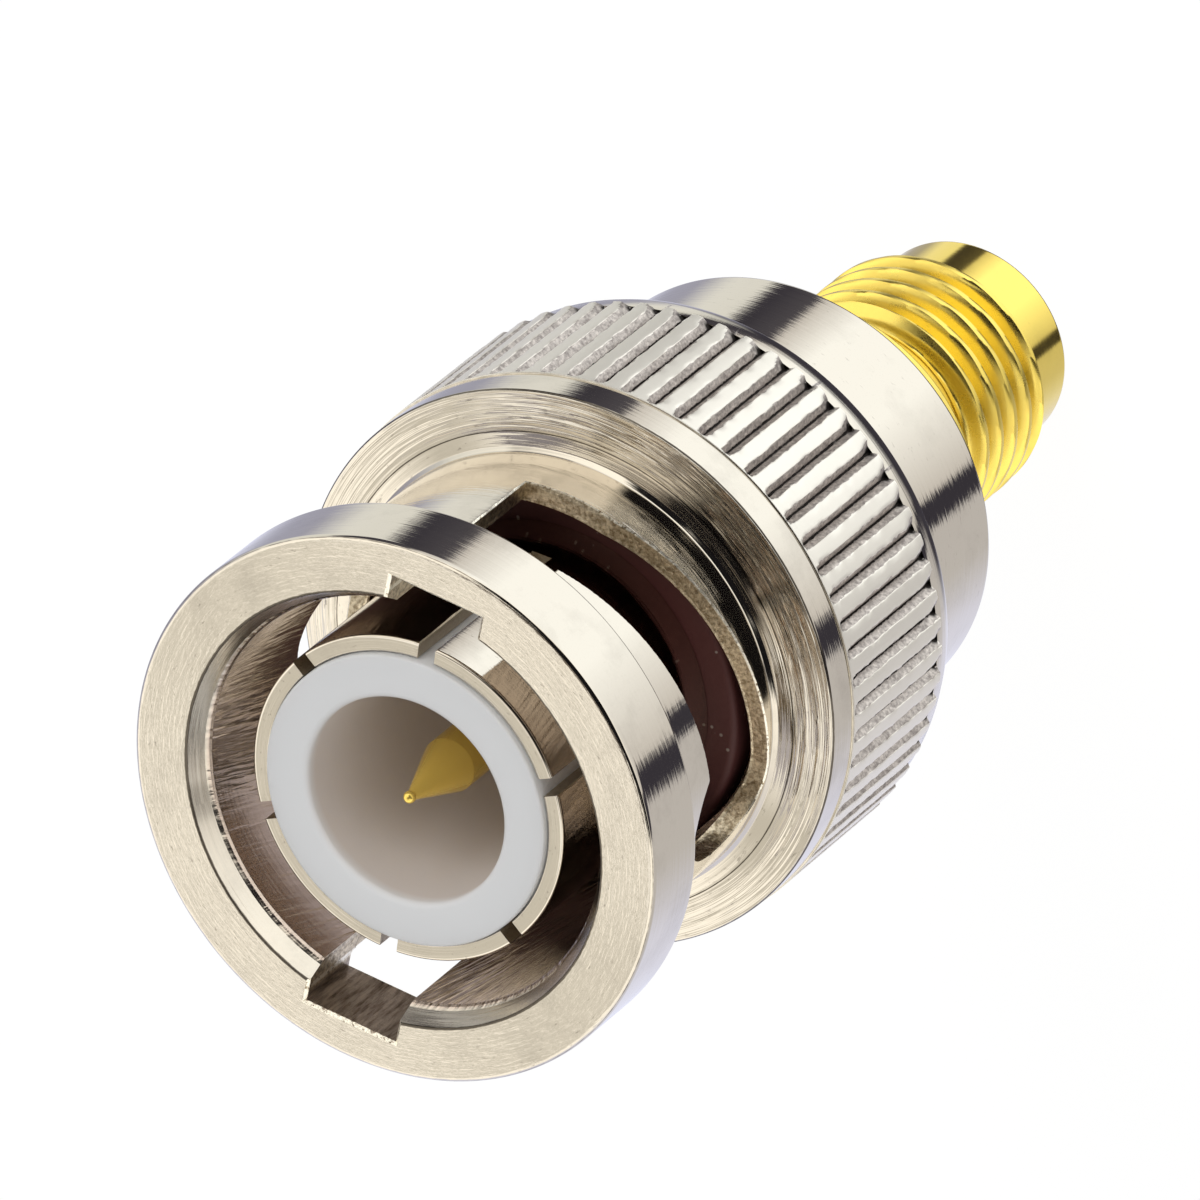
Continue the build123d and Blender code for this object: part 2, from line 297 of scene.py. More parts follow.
class BodySettings(bpy.types.PropertyGroup):
    """Sizes of the plug's fixed parts."""

    sleeve_radius: length("Sleeve radius", "Outside of the spring fingers", 4.08)
    sleeve_wall: length("Sleeve wall", "Thickness of the spring fingers", 0.4)
    slot_width: length("Finger slot width", "Width of the slots between the fingers", 0.44)
    slot_depth: length("Finger slot depth", "Depth of those slots from the front", 5.3)
    recess_radius: length("Recess radius", "Deep round recess in the dielectric", 2.57)
    pin_radius: length("Pin radius", "Outside of the centre pin", 0.675)
    collar_radius: length("Collar radius", "Smooth collar behind the nut", 5.575)


class JackSettings(bpy.types.PropertyGroup):
    """Sizes of the threaded jack."""

    thread_radius: length("Thread radius", "Over the crests of the thread", 3.175)
    thread_depth: length("Thread depth", "From crest to root", 0.4)
    pitch: length("Pitch", "36 turns to the inch", 25.4 / 36)
    phase: bpy.props.FloatProperty(
        name="Phase", description="Turns from the end face to the crest over X", default=0.945
    )
    lead_radius: length("Lead radius", "Plain ring in front of the thread", 2.65)
    relief_radius: length("Relief radius", "Plain stretch behind the thread", 2.75)


class FinishSettings(bpy.types.PropertyGroup):
    """Colours of the finishes."""

    nickel: colour("Nickel", "Bright nickel plate", "#D9D2C6")
    gold: colour("Gold", "Hard gold plate of the jack", "#F5DB70")
    # Painted paler than the jack's gold, for the light that the pin gets in the recess
    contact: colour("Contact", "Hard gold plate of the contacts", "#FFDD6E")
    dielectric: colour("Dielectric", "White fluoropolymer", "#F3F4F5")
    rubber: colour("Gasket", "Dark red silicone rubber", "#4C2624")
    spring: colour("Spring metal", "Rolled spring sheet", "#A9A59C")
    # This colour also paints the shade lines along the nut's edges
    tarnish: colour("Tarnish", "What gathers in grooves", "#4A4238")


# Heights above the jack's end face that several pieces share

JACK_THREAD_START = 1.75 * MM
SEAT_FLOOR = 17.0 * MM
SHOULDER_FOOT = 18.0 * MM
SHOULDER_TOP = 19.2 * MM
SLEEVE_FOOT = 20.2 * MM
RECESS_FLOOR = 20.8 * MM

# Depths and breaks of the coupling nut

FLANGE_SLOPE = 0.25 * MM
RIM_LENGTH = 0.9 * MM
MOUTH_FLARE = 0.35 * MM
MOUTH_DEPTH = 0.6 * MM


def knurl_span(nut, top):
    """Heights of the flange's outer edge and of the knurl's two ends, for a nut whose face is at top."""
    edge = top - nut.flange_depth - FLANGE_SLOPE
    knurl_top = edge - RIM_LENGTH
    return edge, knurl_top, knurl_top - nut.knurl_length


# Materials

# Each is worked out in millimetres. A noise's scale is how many of its features lie in one millimetre.
# Milled walls: grains of 0.11 mm. The cutter's real marks are near 0.03 mm, too fine to show here.
MILLED_GRAINS = 9.0
# Thin and stained plate: patches of about 1.4 mm, as large as in the photograph
PATCHES = 0.7
# Lathe lines: 0.09 mm apart and 5 mm long. A finishing cut leaves them near 0.05 mm, too fine to show here.
LATHE_LINES = (0.09, 5.0)
# The radius at which lengths round the axis are measured, between the neck and the knurl
ARC_RADIUS = 6.0


def place_in_millimetres(tree):
    """The shaded point's place on its piece."""
    local = node(tree, "ShaderNodeTexCoord").outputs["Object"]
    return node(tree, "ShaderNodeMapping", {"Vector": local, "Scale": (1 / MM, 1 / MM, 1 / MM)})


def turned_coordinates(tree):
    """A point of a turned piece in millimetres: its place, distance from the axis, height and way round."""
    scaled = place_in_millimetres(tree)
    parts = node(tree, "ShaderNodeSeparateXYZ", (scaled,)).outputs
    flat = node(tree, "ShaderNodeCombineXYZ", (parts["X"], parts["Y"]))
    radius = node(tree, "ShaderNodeVectorMath", (flat,), operation="LENGTH").outputs["Value"]
    angle = node(tree, "ShaderNodeMath", (parts["Y"], parts["X"]), operation="ARCTAN2")
    arc = node(tree, "ShaderNodeMath", (angle, ARC_RADIUS), operation="MULTIPLY")
    return scaled, radius, parts["Z"], arc


def streaks(tree, place, across, along):
    """Noise drawn out round the axis. across and along are the sizes of one streak in millimetres."""
    _, radius, height, arc = place
    sizes = ((radius, across), (height, across), (arc, along))
    counts = [node(tree, "ShaderNodeMath", (way, 1 / size), operation="MULTIPLY") for way, size in sizes]
    drawn_out = node(tree, "ShaderNodeCombineXYZ", counts)
    lines = {"Vector": drawn_out, "Scale": 1.0, "Detail": 3.0, "Roughness": 0.6}
    return node(tree, "ShaderNodeTexNoise", lines)


def cloudy(tree, place):
    """Soft patches where the plate is thinner or stained."""
    patches = {"Vector": place[0], "Scale": PATCHES, "Detail": 5.0, "Roughness": 0.65}
    return node(tree, "ShaderNodeTexNoise", patches)


def two_tone(tree, noise, low, high, dark, light):
    """A speckled paint: dark where the noise is under low, light where it is over high."""
    share = node(tree, "ShaderNodeMapRange", (noise, low, high))
    return node(tree, "ShaderNodeMix", {0: share, 6: dark, 7: light}, data_type="RGBA").outputs[2]


def shader(name):
    """A material with its Principled shader, ready for nodes."""
    material = bpy.data.materials.new(name)
    material.use_nodes = True
    tree = material.node_tree
    return material, tree, tree.nodes["Principled BSDF"]


def bumped(tree, principled, *layers):
    """Stacks relief on a shader. Each layer is a height from 0 to 1 and the millimetres that 1 stands for."""
    normal = None
    for height, size in layers:
        bump = node(tree, "ShaderNodeBump", {"Height": height, "Strength": 1.0, "Distance": size * MM})
        if normal:
            wire(tree, bump, {"Normal": normal})
        normal = bump
    wire(tree, principled, {"Normal": normal})


def plated(
    name, base, tarnish, roughness, line_height=0.004, spots=0.3, metallic=1.0, polished_below=None
):
    """Electroplate on turned brass, or a rolled sheet's own surface, which is as bright but duller.

    The plate levels the turned surface, so that it mirrors like a polished one along the axis, while the
    lathe lines under it fray each reflection round the axis. Pits of 0.1 by 0.3 mm and soft patches are
    a little darker. polished_below is the height in millimetres up to which a ring is smoother still."""
    material, tree, principled = shader(name)
    place = turned_coordinates(tree)
    cloud = cloudy(tree, place)
    pits = node(tree, "ShaderNodeMapRange", (streaks(tree, place, 0.11, 0.3), 0.64, 0.74, 0.0, spots))
    patches = node(tree, "ShaderNodeMapRange", (cloud, 0.52, 0.75, 0.0, spots * 0.5))
    stain = node(tree, "ShaderNodeMath", (patches, pits), operation="MAXIMUM")
    paint = node(tree, "ShaderNodeMix", {0: stain, 6: base, 7: tarnish}, data_type="RGBA").outputs[2]
    rough = node(tree, "ShaderNodeMapRange", (cloud, 0.3, 0.7, roughness * 0.7, roughness * 1.4))
    if polished_below:
        height = place[2]
        rise = (height, polished_below, polished_below + 0.03, 0.35, 1.0)
        shine = node(tree, "ShaderNodeMapRange", rise)
        rough = node(tree, "ShaderNodeMath", (rough, shine), operation="MULTIPLY")
    wire(tree, principled, {"Metallic": metallic, "Base Color": paint, "Roughness": rough})
    bumped(tree, principled, (streaks(tree, place, *LATHE_LINES), line_height))
    return material


def shaded_edge_lines(nut, top):
    """The nut's painted shade: dark frayed lines along its edges and small grooves, as radius, height and
    width in millimetres.
    """
    edge, knurl_top, _ = knurl_span(nut, top)
    mouth = (nut.bore_radius + MOUTH_FLARE, top, 0.06)
    front_edge = (nut.front_radius - 0.02 * MM, top - 0.03 * MM, 0.03)
    flange_edge = (nut.rim_radius, edge, 0.045)
    knurl_edge = (nut.crest_radius - 0.01 * MM, knurl_top - 0.02 * MM, 0.035)
    flange_groove = (nut.neck_radius + 0.45 * MM, top - nut.flange_depth - 0.08 * MM, 0.022)
    neck_root = (nut.neck_radius, top - nut.front_length, 0.03)
    lines = (mouth, front_edge, flange_edge, knurl_edge, flange_groove, neck_root)
    return [(radius / MM, height / MM, width) for radius, height, width in lines]


def nut_zones(tree, place, nut, top):
    """The share, 0 to 1, of each surface of the nut that is finished in its own way."""
    _, radius, height, _ = place
    bore = nut.bore_radius / MM
    mouth = bore + MOUTH_FLARE / MM
    face = top / MM
    depth = MOUTH_DEPTH / MM
    normal = node(tree, "ShaderNodeTexCoord").outputs["Normal"]
    facing = node(tree, "ShaderNodeSeparateXYZ", (normal,)).outputs["Z"]
    flat = node(tree, "ShaderNodeMapRange", (facing, 0.8, 0.95))
    near_face = node(tree, "ShaderNodeMapRange", (height, face - depth, face - depth / 2))
    front = node(tree, "ShaderNodeMath", (near_face, flat), operation="MULTIPLY")
    in_mouth = node(tree, "ShaderNodeMapRange", (radius, mouth + 0.05, mouth - 0.01))
    above_bore = node(tree, "ShaderNodeMapRange", (height, face - depth - 0.1, face - depth))
    zone = {
        "flat": flat,
        "front": front,
        "flange": node(tree, "ShaderNodeMath", (flat, front), operation="SUBTRACT"),
        "bore": node(tree, "ShaderNodeMapRange", (radius, bore + 0.1, bore + 0.04)),
        "flare": node(tree, "ShaderNodeMath", (in_mouth, above_bore), operation="MULTIPLY"),
    }
    for mark in ("groove", "milled", "band"):
        zone[mark] = node(tree, "ShaderNodeAttribute", attribute_name=mark).outputs["Fac"]
    return zone


def milled_paint(tree, place, grain, nut, top):
    """Thin speckled plate on the walls of the slots and notches, with a painted highlight along their edges
    where burrs catch the light.
    """
    scaled, radius, height, _ = place
    neck = nut.neck_radius / MM
    above_neck = neck + 0.12
    face = top / MM
    wall = two_tone(tree, grain, 0.36, 0.62, linear("#9A8B74"), linear("#E2D5BC"))
    # Strokes along the axis on the notch floor: 0.14 mm wide and 1.1 mm long, coarser than the real ones
    strokes = node(tree, "ShaderNodeVectorMath", (scaled, (7.0, 7.0, 0.9)), operation="MULTIPLY")
    milling = {"Vector": strokes, "Scale": 1.0, "Detail": 4.0, "Roughness": 0.7}
    drawn = node(tree, "ShaderNodeTexNoise", milling)
    floor = two_tone(tree, drawn, 0.36, 0.62, linear("#716356"), linear("#C6B8A9"))
    on_floor = node(tree, "ShaderNodeMapRange", (radius, above_neck, above_neck + 0.12))
    cut = node(tree, "ShaderNodeMix", {0: on_floor, 6: wall, 7: floor}, data_type="RGBA").outputs[2]
    # A painted highlight: a broken bright line along the walls at the neck and at the front face, where burrs
    # catch the light
    outside = node(tree, "ShaderNodeMapRange", (radius, neck - 0.055, neck - 0.025))
    inside = node(tree, "ShaderNodeMapRange", (radius, above_neck, above_neck - 0.06))
    at_neck = node(tree, "ShaderNodeMath", (outside, inside), operation="MULTIPLY")
    ragged = node(tree, "ShaderNodeMath", (grain, 0.16, height), operation="MULTIPLY_ADD")
    at_face = node(tree, "ShaderNodeMapRange", (ragged, face, face + 0.02))
    at_edge = node(tree, "ShaderNodeMath", (at_neck, at_face), operation="MAXIMUM")
    broken = node(tree, "ShaderNodeMapRange", (grain, 0.38, 0.46))
    burr_highlight = node(tree, "ShaderNodeMath", (at_edge, broken), operation="MULTIPLY")
    return node(tree, "ShaderNodeMix", {0: burr_highlight, 6: cut, 7: linear("#FFFAEC")}, data_type="RGBA").outputs[2]


def nut_paint(tree, place, zone, grain, cloud, base, tarnish, nut, top):
    """The nut's colours, from the plain plate to what lies over it, painted highlights and painted shade
    among them.
    """
    _, radius, height, _ = place
    # Stains: soft patches and pits of 0.1 by 0.3 mm on the flat faces. Painted shade: the dark frayed lines
    # at the edges, laid in with the stains
    pits = node(tree, "ShaderNodeMapRange", (streaks(tree, place, 0.10, 0.3), 0.62, 0.74, 0.0, 0.45))
    on_flat = node(tree, "ShaderNodeMath", (pits, zone["flat"]), operation="MULTIPLY")
    patches = node(tree, "ShaderNodeMapRange", (cloud, 0.5, 0.75, 0.0, 0.16))
    stain = node(tree, "ShaderNodeMath", (patches, on_flat), operation="MAXIMUM")
    frays = streaks(tree, place, 0.05, 0.25)
    fray = node(tree, "ShaderNodeMath", (frays, -0.9, 1.35), operation="MULTIPLY_ADD")
    # Painted shade: each edge gets a dark line of frayed width
    for edge_radius, edge_height, width in shaded_edge_lines(nut, top):
        off_radius = node(tree, "ShaderNodeMath", (radius, edge_radius), operation="SUBTRACT")
        off_height = node(tree, "ShaderNodeMath", (height, edge_height), operation="SUBTRACT")
        off = node(tree, "ShaderNodeCombineXYZ", (off_radius, off_height))
        away = node(tree, "ShaderNodeVectorMath", (off,), operation="LENGTH").outputs["Value"]
        frayed = node(tree, "ShaderNodeMath", (fray, width), operation="MULTIPLY")
        reached = node(tree, "ShaderNodeMath", (away, frayed), operation="DIVIDE")
        line = node(tree, "ShaderNodeMapRange", (reached, 1.0, 0.6, 0.0, 0.9))
        stain = node(tree, "ShaderNodeMath", (stain, line), operation="MAXIMUM")
    # The knurl: a painted highlight on the crests, painted grey shade on the flank of each flute, and painted
    # dark shade in each root that ends in darker shade at the flute's rear end
    crests = node(tree, "ShaderNodeMath", (zone["band"], 0.85), operation="MULTIPLY")
    ragged = node(tree, "ShaderNodeMath", (grain, 0.1, zone["groove"]), operation="MULTIPLY_ADD")
    flank_shade = node(tree, "ShaderNodeMapRange", (ragged, 0.1, 0.14))
    knurl_end = knurl_span(nut, top)[2] / MM
    near_end = node(tree, "ShaderNodeMapRange", (height, knurl_end + 0.3, knurl_end + 0.1))
    pocket = node(tree, "ShaderNodeMath", (zone["groove"], near_end), operation="MULTIPLY")
    pocket_shade = node(tree, "ShaderNodeMapRange", (pocket, 0.25, 0.6))
    torn = node(tree, "ShaderNodeMath", (grain, 0.5, zone["groove"]), operation="MULTIPLY_ADD")
    root_shade = node(tree, "ShaderNodeMapRange", (torn, 1.04, 1.12))
    deep = node(tree, "ShaderNodeMath", (root_shade, pocket_shade), operation="MAXIMUM")
    bore = node(tree, "ShaderNodeMath", (zone["bore"], 0.85), operation="MULTIPLY")
    coats = (
        # The stains and the painted shade lines at the edges, in one dark colour
        (stain, tarnish),
        # Painted highlight: pale, near-white crests
        (crests, linear("#FFFBF2")),
        # Painted shade: the flank of each flute grey and speckled
        (flank_shade, two_tone(tree, grain, 0.34, 0.68, linear("#9C9490"), linear("#E2DAD3"))),
        # Painted shade: dark root lines and rear ends of the flutes
        (deep, linear("#2A2624")),
        (bore, linear("#CDBCB0")),
        (zone["milled"], milled_paint(tree, place, grain, nut, top)),
    )
    paint = base
    for share, coat in coats:
        paint = node(tree, "ShaderNodeMix", {0: share, 6: paint, 7: coat}, data_type="RGBA").outputs[2]
    return paint


def plated_nut(name, base, tarnish, nut, top):
    """Bright nickel plate on the turned, knurled and milled brass of the nut.

    The turned neck, rims and front ring are near mirrors that the lathe lines fray. The flange face keeps
    coarse grooves that spread the light into rays, the bore has axial chatter, the knurl has pale crests with
    a painted highlight over grey painted shade on each flank and dark painted shade in each root, and the
    milled walls are rough, speckled and dull, with a painted highlight along their edges."""
    material, tree, principled = shader(name)
    place = turned_coordinates(tree)
    scaled, radius, height, arc = place
    zone = nut_zones(tree, place, nut, top)
    speckles = {"Vector": scaled, "Scale": MILLED_GRAINS, "Detail": 3.0, "Roughness": 0.65}
    grain = node(tree, "ShaderNodeTexNoise", speckles)
    cloud = cloudy(tree, place)
    rough = node(tree, "ShaderNodeMapRange", (cloud, 0.3, 0.7, 0.05, 0.09))
    least = (("band", 0.5), ("front", 0.16), ("flare", 0.17), ("bore", 0.2), ("milled", 0.34))
    for surface, level in least:
        own = node(tree, "ShaderNodeMath", (zone[surface], level), operation="MULTIPLY")
        rough = node(tree, "ShaderNodeMath", (rough, own), operation="MAXIMUM")
    paint = nut_paint(tree, place, zone, grain, cloud, base, tarnish, nut, top)
    wire(tree, principled, {"Metallic": 1.0, "Base Color": paint, "Roughness": rough})
    # Chatter of the boring tool: waves 0.15 mm apart round the bore that lean as they go down
    lean = node(tree, "ShaderNodeMath", (height, 2.2), operation="MULTIPLY")
    round_bore = node(tree, "ShaderNodeMath", (arc, 6.5, lean), operation="MULTIPLY_ADD")
    down_bore = node(tree, "ShaderNodeMath", (height, 0.5), operation="MULTIPLY")
    waves = node(tree, "ShaderNodeCombineXYZ", (round_bore, down_bore))
    chatter = node(tree, "ShaderNodeTexNoise", {"Vector": waves, "Scale": 1.0, "Detail": 2.0})
    # The flange face is smooth near the neck and grooved from there to the rim
    neck = nut.neck_radius / MM
    outward = node(tree, "ShaderNodeMapRange", (radius, neck + 0.4, neck + 0.75, 0.12, 1.0))
    outer_flange = node(tree, "ShaderNodeMath", (zone["flange"], outward), operation="MULTIPLY")
    in_groove = node(tree, "ShaderNodeMath", (zone["groove"], 0.3), operation="MULTIPLY")
    grainy = node(tree, "ShaderNodeMath", (zone["milled"], in_groove), operation="MAXIMUM")
    reliefs = (
        (streaks(tree, place, 0.15, 6.0), outer_flange, 0.06),
        (streaks(tree, place, 0.08, 0.5), zone["front"], 0.012),
        (chatter, zone["bore"], 0.034),
        (grain, grainy, 0.02),
    )
    layers = [(streaks(tree, place, *LATHE_LINES), 0.004)]
    for pattern, share, size in reliefs:
        layers.append((node(tree, "ShaderNodeMath", (pattern, share), operation="MULTIPLY"), size))
    bumped(tree, principled, *layers)
    return material


def milled_metal(name, base):
    """Nickel plate on the sawn slots of the fingers: rough and dull, with speckles that catch the light.

    Its grains are 0.07 mm, where real ones are near 0.02 mm and wouldn't show here."""
    material, tree, principled = shader(name)
    scaled = place_in_millimetres(tree)
    speckles = {"Vector": scaled, "Scale": 14.0, "Detail": 3.0, "Roughness": 0.7}
    grain = node(tree, "ShaderNodeTexNoise", speckles)
    wire(tree, principled, {"Metallic": 1.0, "Base Color": base, "Roughness": 0.3})
    bumped(tree, principled, (grain, 0.03))
    return material


def fluoropolymer(base):
    """Fluoropolymer turned from white rod: waxy, without a hard gloss, and lit a little from within.

    The light goes about 0.6 mm deep. Its tool marks are 0.08 mm apart and hardly stand out."""
    material, tree, principled = shader("turned fluoropolymer")
    place = turned_coordinates(tree)
    _, radius, height, _ = place
    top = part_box("plug_insulator")[1].z / MM
    # Painted shade and painted reflection: the recess walls darker and warmer towards the inside and down,
    # from the metal round them
    inward = node(tree, "ShaderNodeMapRange", (radius, 2.95, 2.6))
    downward = node(tree, "ShaderNodeMapRange", (height, top, top - 0.4))
    recess = node(tree, "ShaderNodeMath", (inward, downward), operation="MULTIPLY")
    shade = {0: recess, 6: base, 7: linear("#E5DDD7")}
    wax = {
        "Base Color": node(tree, "ShaderNodeMix", shade, data_type="RGBA").outputs[2],
        "Roughness": 0.42,
        "IOR": 1.35,
        "Subsurface Weight": 0.5,
        "Subsurface Radius": (1.0, 1.0, 1.0),
        "Subsurface Scale": 0.6 * MM,
    }
    wire(tree, principled, wax)
    bumped(tree, principled, (streaks(tree, place, 0.08, 4.0), 0.003))
    return material


def silicone(base):
    """Moulded silicone rubber: dull and dark red, with a few pale specks of dust about 0.1 mm wide.

    The mould's spark-eroded grain is drawn at 0.12 mm, several times its real width."""
    material, tree, principled = shader("moulded silicone")
    scaled = place_in_millimetres(tree)
    specks = node(tree, "ShaderNodeTexVoronoi", {"Vector": scaled, "Scale": 2.6}, feature="F1")
    dust = node(tree, "ShaderNodeMapRange", (specks, 0.09, 0.13, 0.45, 0.0))
    dusty = {0: dust, 6: base, 7: linear("#B0A69C")}
    paint = node(tree, "ShaderNodeMix", dusty, data_type="RGBA").outputs[2]
    wire(tree, principled, {"Base Color": paint, "Roughness": 0.62})
    grain = node(tree, "ShaderNodeTexNoise", {"Vector": scaled, "Scale": 8.0})
    bumped(tree, principled, (grain, 0.004))
    return material


def finishes():
    """Every material of the adapter by its slot, made once."""
    made = {m["key"]: m for m in bpy.data.materials if "key" in m}
    if made:
        return made
    colours = bpy.context.scene.adapter_finish
    nickel = colours.nickel
    tarnish = colours.tarnish
    nut = bpy.context.scene.adapter_nut
    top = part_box("coupling_nut")[1].z
    lead_end = JACK_THREAD_START / MM - 0.03
    made = {
        # Bright nickel plate on turned brass: a warm grey mirror, a little softer on the sprung fingers
        "nickel_nut": plated_nut("bright nickel nut", nickel, tarnish, nut, top),
        "nickel_body": plated("bright nickel body", nickel, tarnish, roughness=0.07, line_height=0.003),
        "nickel_collar": plated("bright nickel collar", nickel, tarnish, roughness=0.05, spots=0.2),
        # Hard gold plate on a cut thread: satin yellow, with a polished ring in front of the thread
        "gold_jack": plated(
            "hard gold thread",
            colours.gold,
            tarnish,
            roughness=0.27,
            line_height=0.001,
            spots=0.12,
            polished_below=lead_end,
        ),
        # Hard gold plate on the contacts, painted paler, less deep and partly matt, for the light that the
        # pin gets in the recess
        "gold_pin": plated(
            "hard gold contact",
            colours.contact,
            tarnish,
            roughness=0.2,
            line_height=0.001,
            spots=0.1,
            metallic=0.7,
        ),
        # Rolled spring sheet, unplated: a grey sheen with faint lines
        "spring_metal": plated("rolled spring sheet", colours.spring, tarnish, roughness=0.3),
        "milled": milled_metal("milled nickel wall", linear("#BDAF98")),
        "dielectric": fluoropolymer(colours.dielectric),
        "gasket": silicone(colours.rubber),
    }
    for key, material in made.items():
        material["key"] = key
    return made


# Coupling nut

# Share of a flute's pitch from its root to its shoulder
FLUTE_SHARE = 0.24
# Bayonet slots: depths are from the nut's face, turns from the entry notch
RAMP_START = 4.83 * MM
RAMP_END = 6.34 * MM
RAMP_TURN = math.radians(85)
RAMP_HALF = 1.35 * MM
DETENT_TURN = math.radians(89.7)
DETENT_DEPTH = 6.1 * MM
DETENT_RADIUS = 1.65 * MM
NOTCH_HALF = 1.2 * MM
NOTCH_DEPTH = 6.4 * MM
NOTCH_FLOOR = 5.87 * MM
# Broken edges that the mill leaves on the neck
BEVEL = 0.035 * MM
# How far a cutter reaches past what it cuts
SPARE = 0.3 * MM


def flute_depth_share(tree, given):
    """How deep each point of the band is pressed in, from 0 on a crest to 1 in a root."""
    angle, height = polar_angle(tree)
    per_radian = node(tree, "ShaderNodeMath", (given["Flutes"], TURN), operation="DIVIDE")
    turns = node(tree, "ShaderNodeMath", (angle, per_radian), operation="MULTIPLY")
    off_centre = node(tree, "ShaderNodeMath", (turns, 0.5, -0.5), operation="WRAP")
    off_root = node(tree, "ShaderNodeMath", (off_centre,), operation="ABSOLUTE")
    # Torn shoulders: a noise makes each flute wider and narrower along its length
    per_metre = node(tree, "ShaderNodeMath", (1.0, given["Wear Grain"]), operation="DIVIDE")
    place = node(tree, "GeometryNodeInputPosition")
    torn = {"Vector": place, "W": given["Seed"], "Scale": per_metre, "Detail": 2.0}
    grain = node(tree, "ShaderNodeTexNoise", torn, noise_dimensions="4D")
    centred = node(tree, "ShaderNodeMath", (grain, 0.5), operation="SUBTRACT")
    worn = node(tree, "ShaderNodeMath", (centred, given["Edge Wear"], 1.0), operation="MULTIPLY_ADD")
    # The front end is round
    front_end = node(tree, "ShaderNodeMath", (given["Knurl Top"], given["End Land"]), operation="SUBTRACT")
    from_front = node(tree, "ShaderNodeMath", (front_end, height), operation="SUBTRACT")
    behind = node(tree, "ShaderNodeMath", (from_front, given["Front Round"]), operation="DIVIDE")
    at_least = node(tree, "ShaderNodeMath", (behind, 0.01), operation="MAXIMUM")
    at_most = node(tree, "ShaderNodeMath", (1.0, at_least), operation="MINIMUM")
    narrowed = node(tree, "ShaderNodeMath", (at_most,), operation="SQRT")
    # The rear end slants: one shoulder runs out to twice the width
    from_rear = node(tree, "ShaderNodeMath", (height, given["Knurl Bottom"]), operation="SUBTRACT")
    before = node(tree, "ShaderNodeMath", (from_rear, given["Rear Slant"]), operation="DIVIDE")
    held = node(tree, "ShaderNodeMath", (1.0, before), operation="MINIMUM")
    near_rear = node(tree, "ShaderNodeMath", (1.0, held), operation="SUBTRACT")
    one_side = node(tree, "ShaderNodeMath", (off_centre, 0.0), operation="GREATER_THAN")
    slanted = node(tree, "ShaderNodeMath", (near_rear, one_side), operation="MULTIPLY")
    widened = node(tree, "ShaderNodeMath", (slanted, 1.0), operation="ADD")
    shape = node(tree, "ShaderNodeMath", (narrowed, widened), operation="MULTIPLY")
    worn_shape = node(tree, "ShaderNodeMath", (worn, shape), operation="MULTIPLY")
    share = node(tree, "ShaderNodeMath", (given["Flute Share"], worn_shape), operation="MULTIPLY")
    flank = node(tree, "ShaderNodeMath", (off_root, share), operation="DIVIDE")
    # The root rises to the crest over the run-in
    run_in_foot = node(tree, "ShaderNodeMath", (given["Knurl Top"], given["Run In"]), operation="SUBTRACT")
    up_run_in = node(tree, "ShaderNodeMath", (height, run_in_foot), operation="SUBTRACT")
    run_in = node(tree, "ShaderNodeMath", (given["Run In"], given["End Land"]), operation="SUBTRACT")
    climb = node(tree, "ShaderNodeMath", (up_run_in, run_in), operation="DIVIDE")
    climbed = node(tree, "ShaderNodeMath", (climb, 0.0), operation="MAXIMUM")
    higher = node(tree, "ShaderNodeMath", (flank, climbed), operation="MAXIMUM")
    rise = node(tree, "ShaderNodeMath", (1.0, higher), operation="MINIMUM")
    return node(tree, "ShaderNodeMath", (1.0, rise), operation="SUBTRACT")


def marked_cutters(tree, given):
    """The cutters at each bayonet slot. Each marks the faces that it leaves, and stays a closed mesh."""
    pitch = node(tree, "ShaderNodeMath", (TURN, given["Slots"]), operation="DIVIDE")
    index = node(tree, "GeometryNodeInputIndex")
    step = node(tree, "ShaderNodeMath", (index, pitch), operation="MULTIPLY")
    turn = node(tree, "ShaderNodeCombineXYZ", {"Z": step})
    points = node(tree, "GeometryNodePoints", {"Count": given["Slots"]})
    cutters = node(tree, "GeometryNodeJoinGeometry")
    for label in ("Edge Cutter", "Notch Cutter", "Slot Cutter"):
        shape = node(tree, "GeometryNodeObjectInfo", {"Object": given[label]}).outputs["Geometry"]
        mark = {"Geometry": shape, "Name": "milled", "Value": 1.0}
        marked = node(tree, "GeometryNodeStoreNamedAttribute", mark, data_type="FLOAT", domain="FACE")
        spread = {"Points": points, "Instance": marked, "Rotation": turn}
        copies = node(tree, "GeometryNodeInstanceOnPoints", spread)
        wire(tree, cutters, {"Geometry": copies})
    return cutters


def nut_tree():
    """Geometry Nodes: presses the flutes into the knurl band, then cuts the bayonet slots."""
    inputs = {"Flutes": "Int", "Slots": "Int"}
    inputs |= dict.fromkeys(("Crest Radius", "Flute Depth", "Flute Share"), "Float")
    inputs |= dict.fromkeys(("Knurl Top", "Knurl Bottom", "Run In", "End Land"), "Float")
    inputs |= dict.fromkeys(("Front Round", "Rear Slant"), "Float")
    inputs |= dict.fromkeys(("Edge Wear", "Wear Grain", "Seed"), "Float")
    inputs |= dict.fromkeys(("Slot Cutter", "Notch Cutter", "Edge Cutter"), "Object")
    inputs["Material"] = "Material"
    tree, given, result = new_tree("Coupling nut", inputs)
    sunk = flute_depth_share(tree, given)
    depth = node(tree, "ShaderNodeMath", (sunk, given["Flute Depth"]), operation="MULTIPLY")
    radius = node(tree, "ShaderNodeMath", (given["Crest Radius"], depth), operation="SUBTRACT")
    in_band, band = marked_points(tree, "band")
    groove = node(tree, "ShaderNodeMath", (sunk, band), operation="MULTIPLY")
    mark = {"Geometry": given["Geometry"], "Name": "groove", "Value": groove}
    marked = node(tree, "GeometryNodeStoreNamedAttribute", mark, data_type="FLOAT", domain="POINT")
    knurled = radial_move(tree, marked, radius, in_band)
    parts = {"Mesh 1": knurled, "Mesh 2": marked_cutters(tree, given)}
    cut = node(tree, "GeometryNodeMeshBoolean", parts, operation="DIFFERENCE", solver="EXACT")
    close_tree(tree, given, cut, result)
    return tree


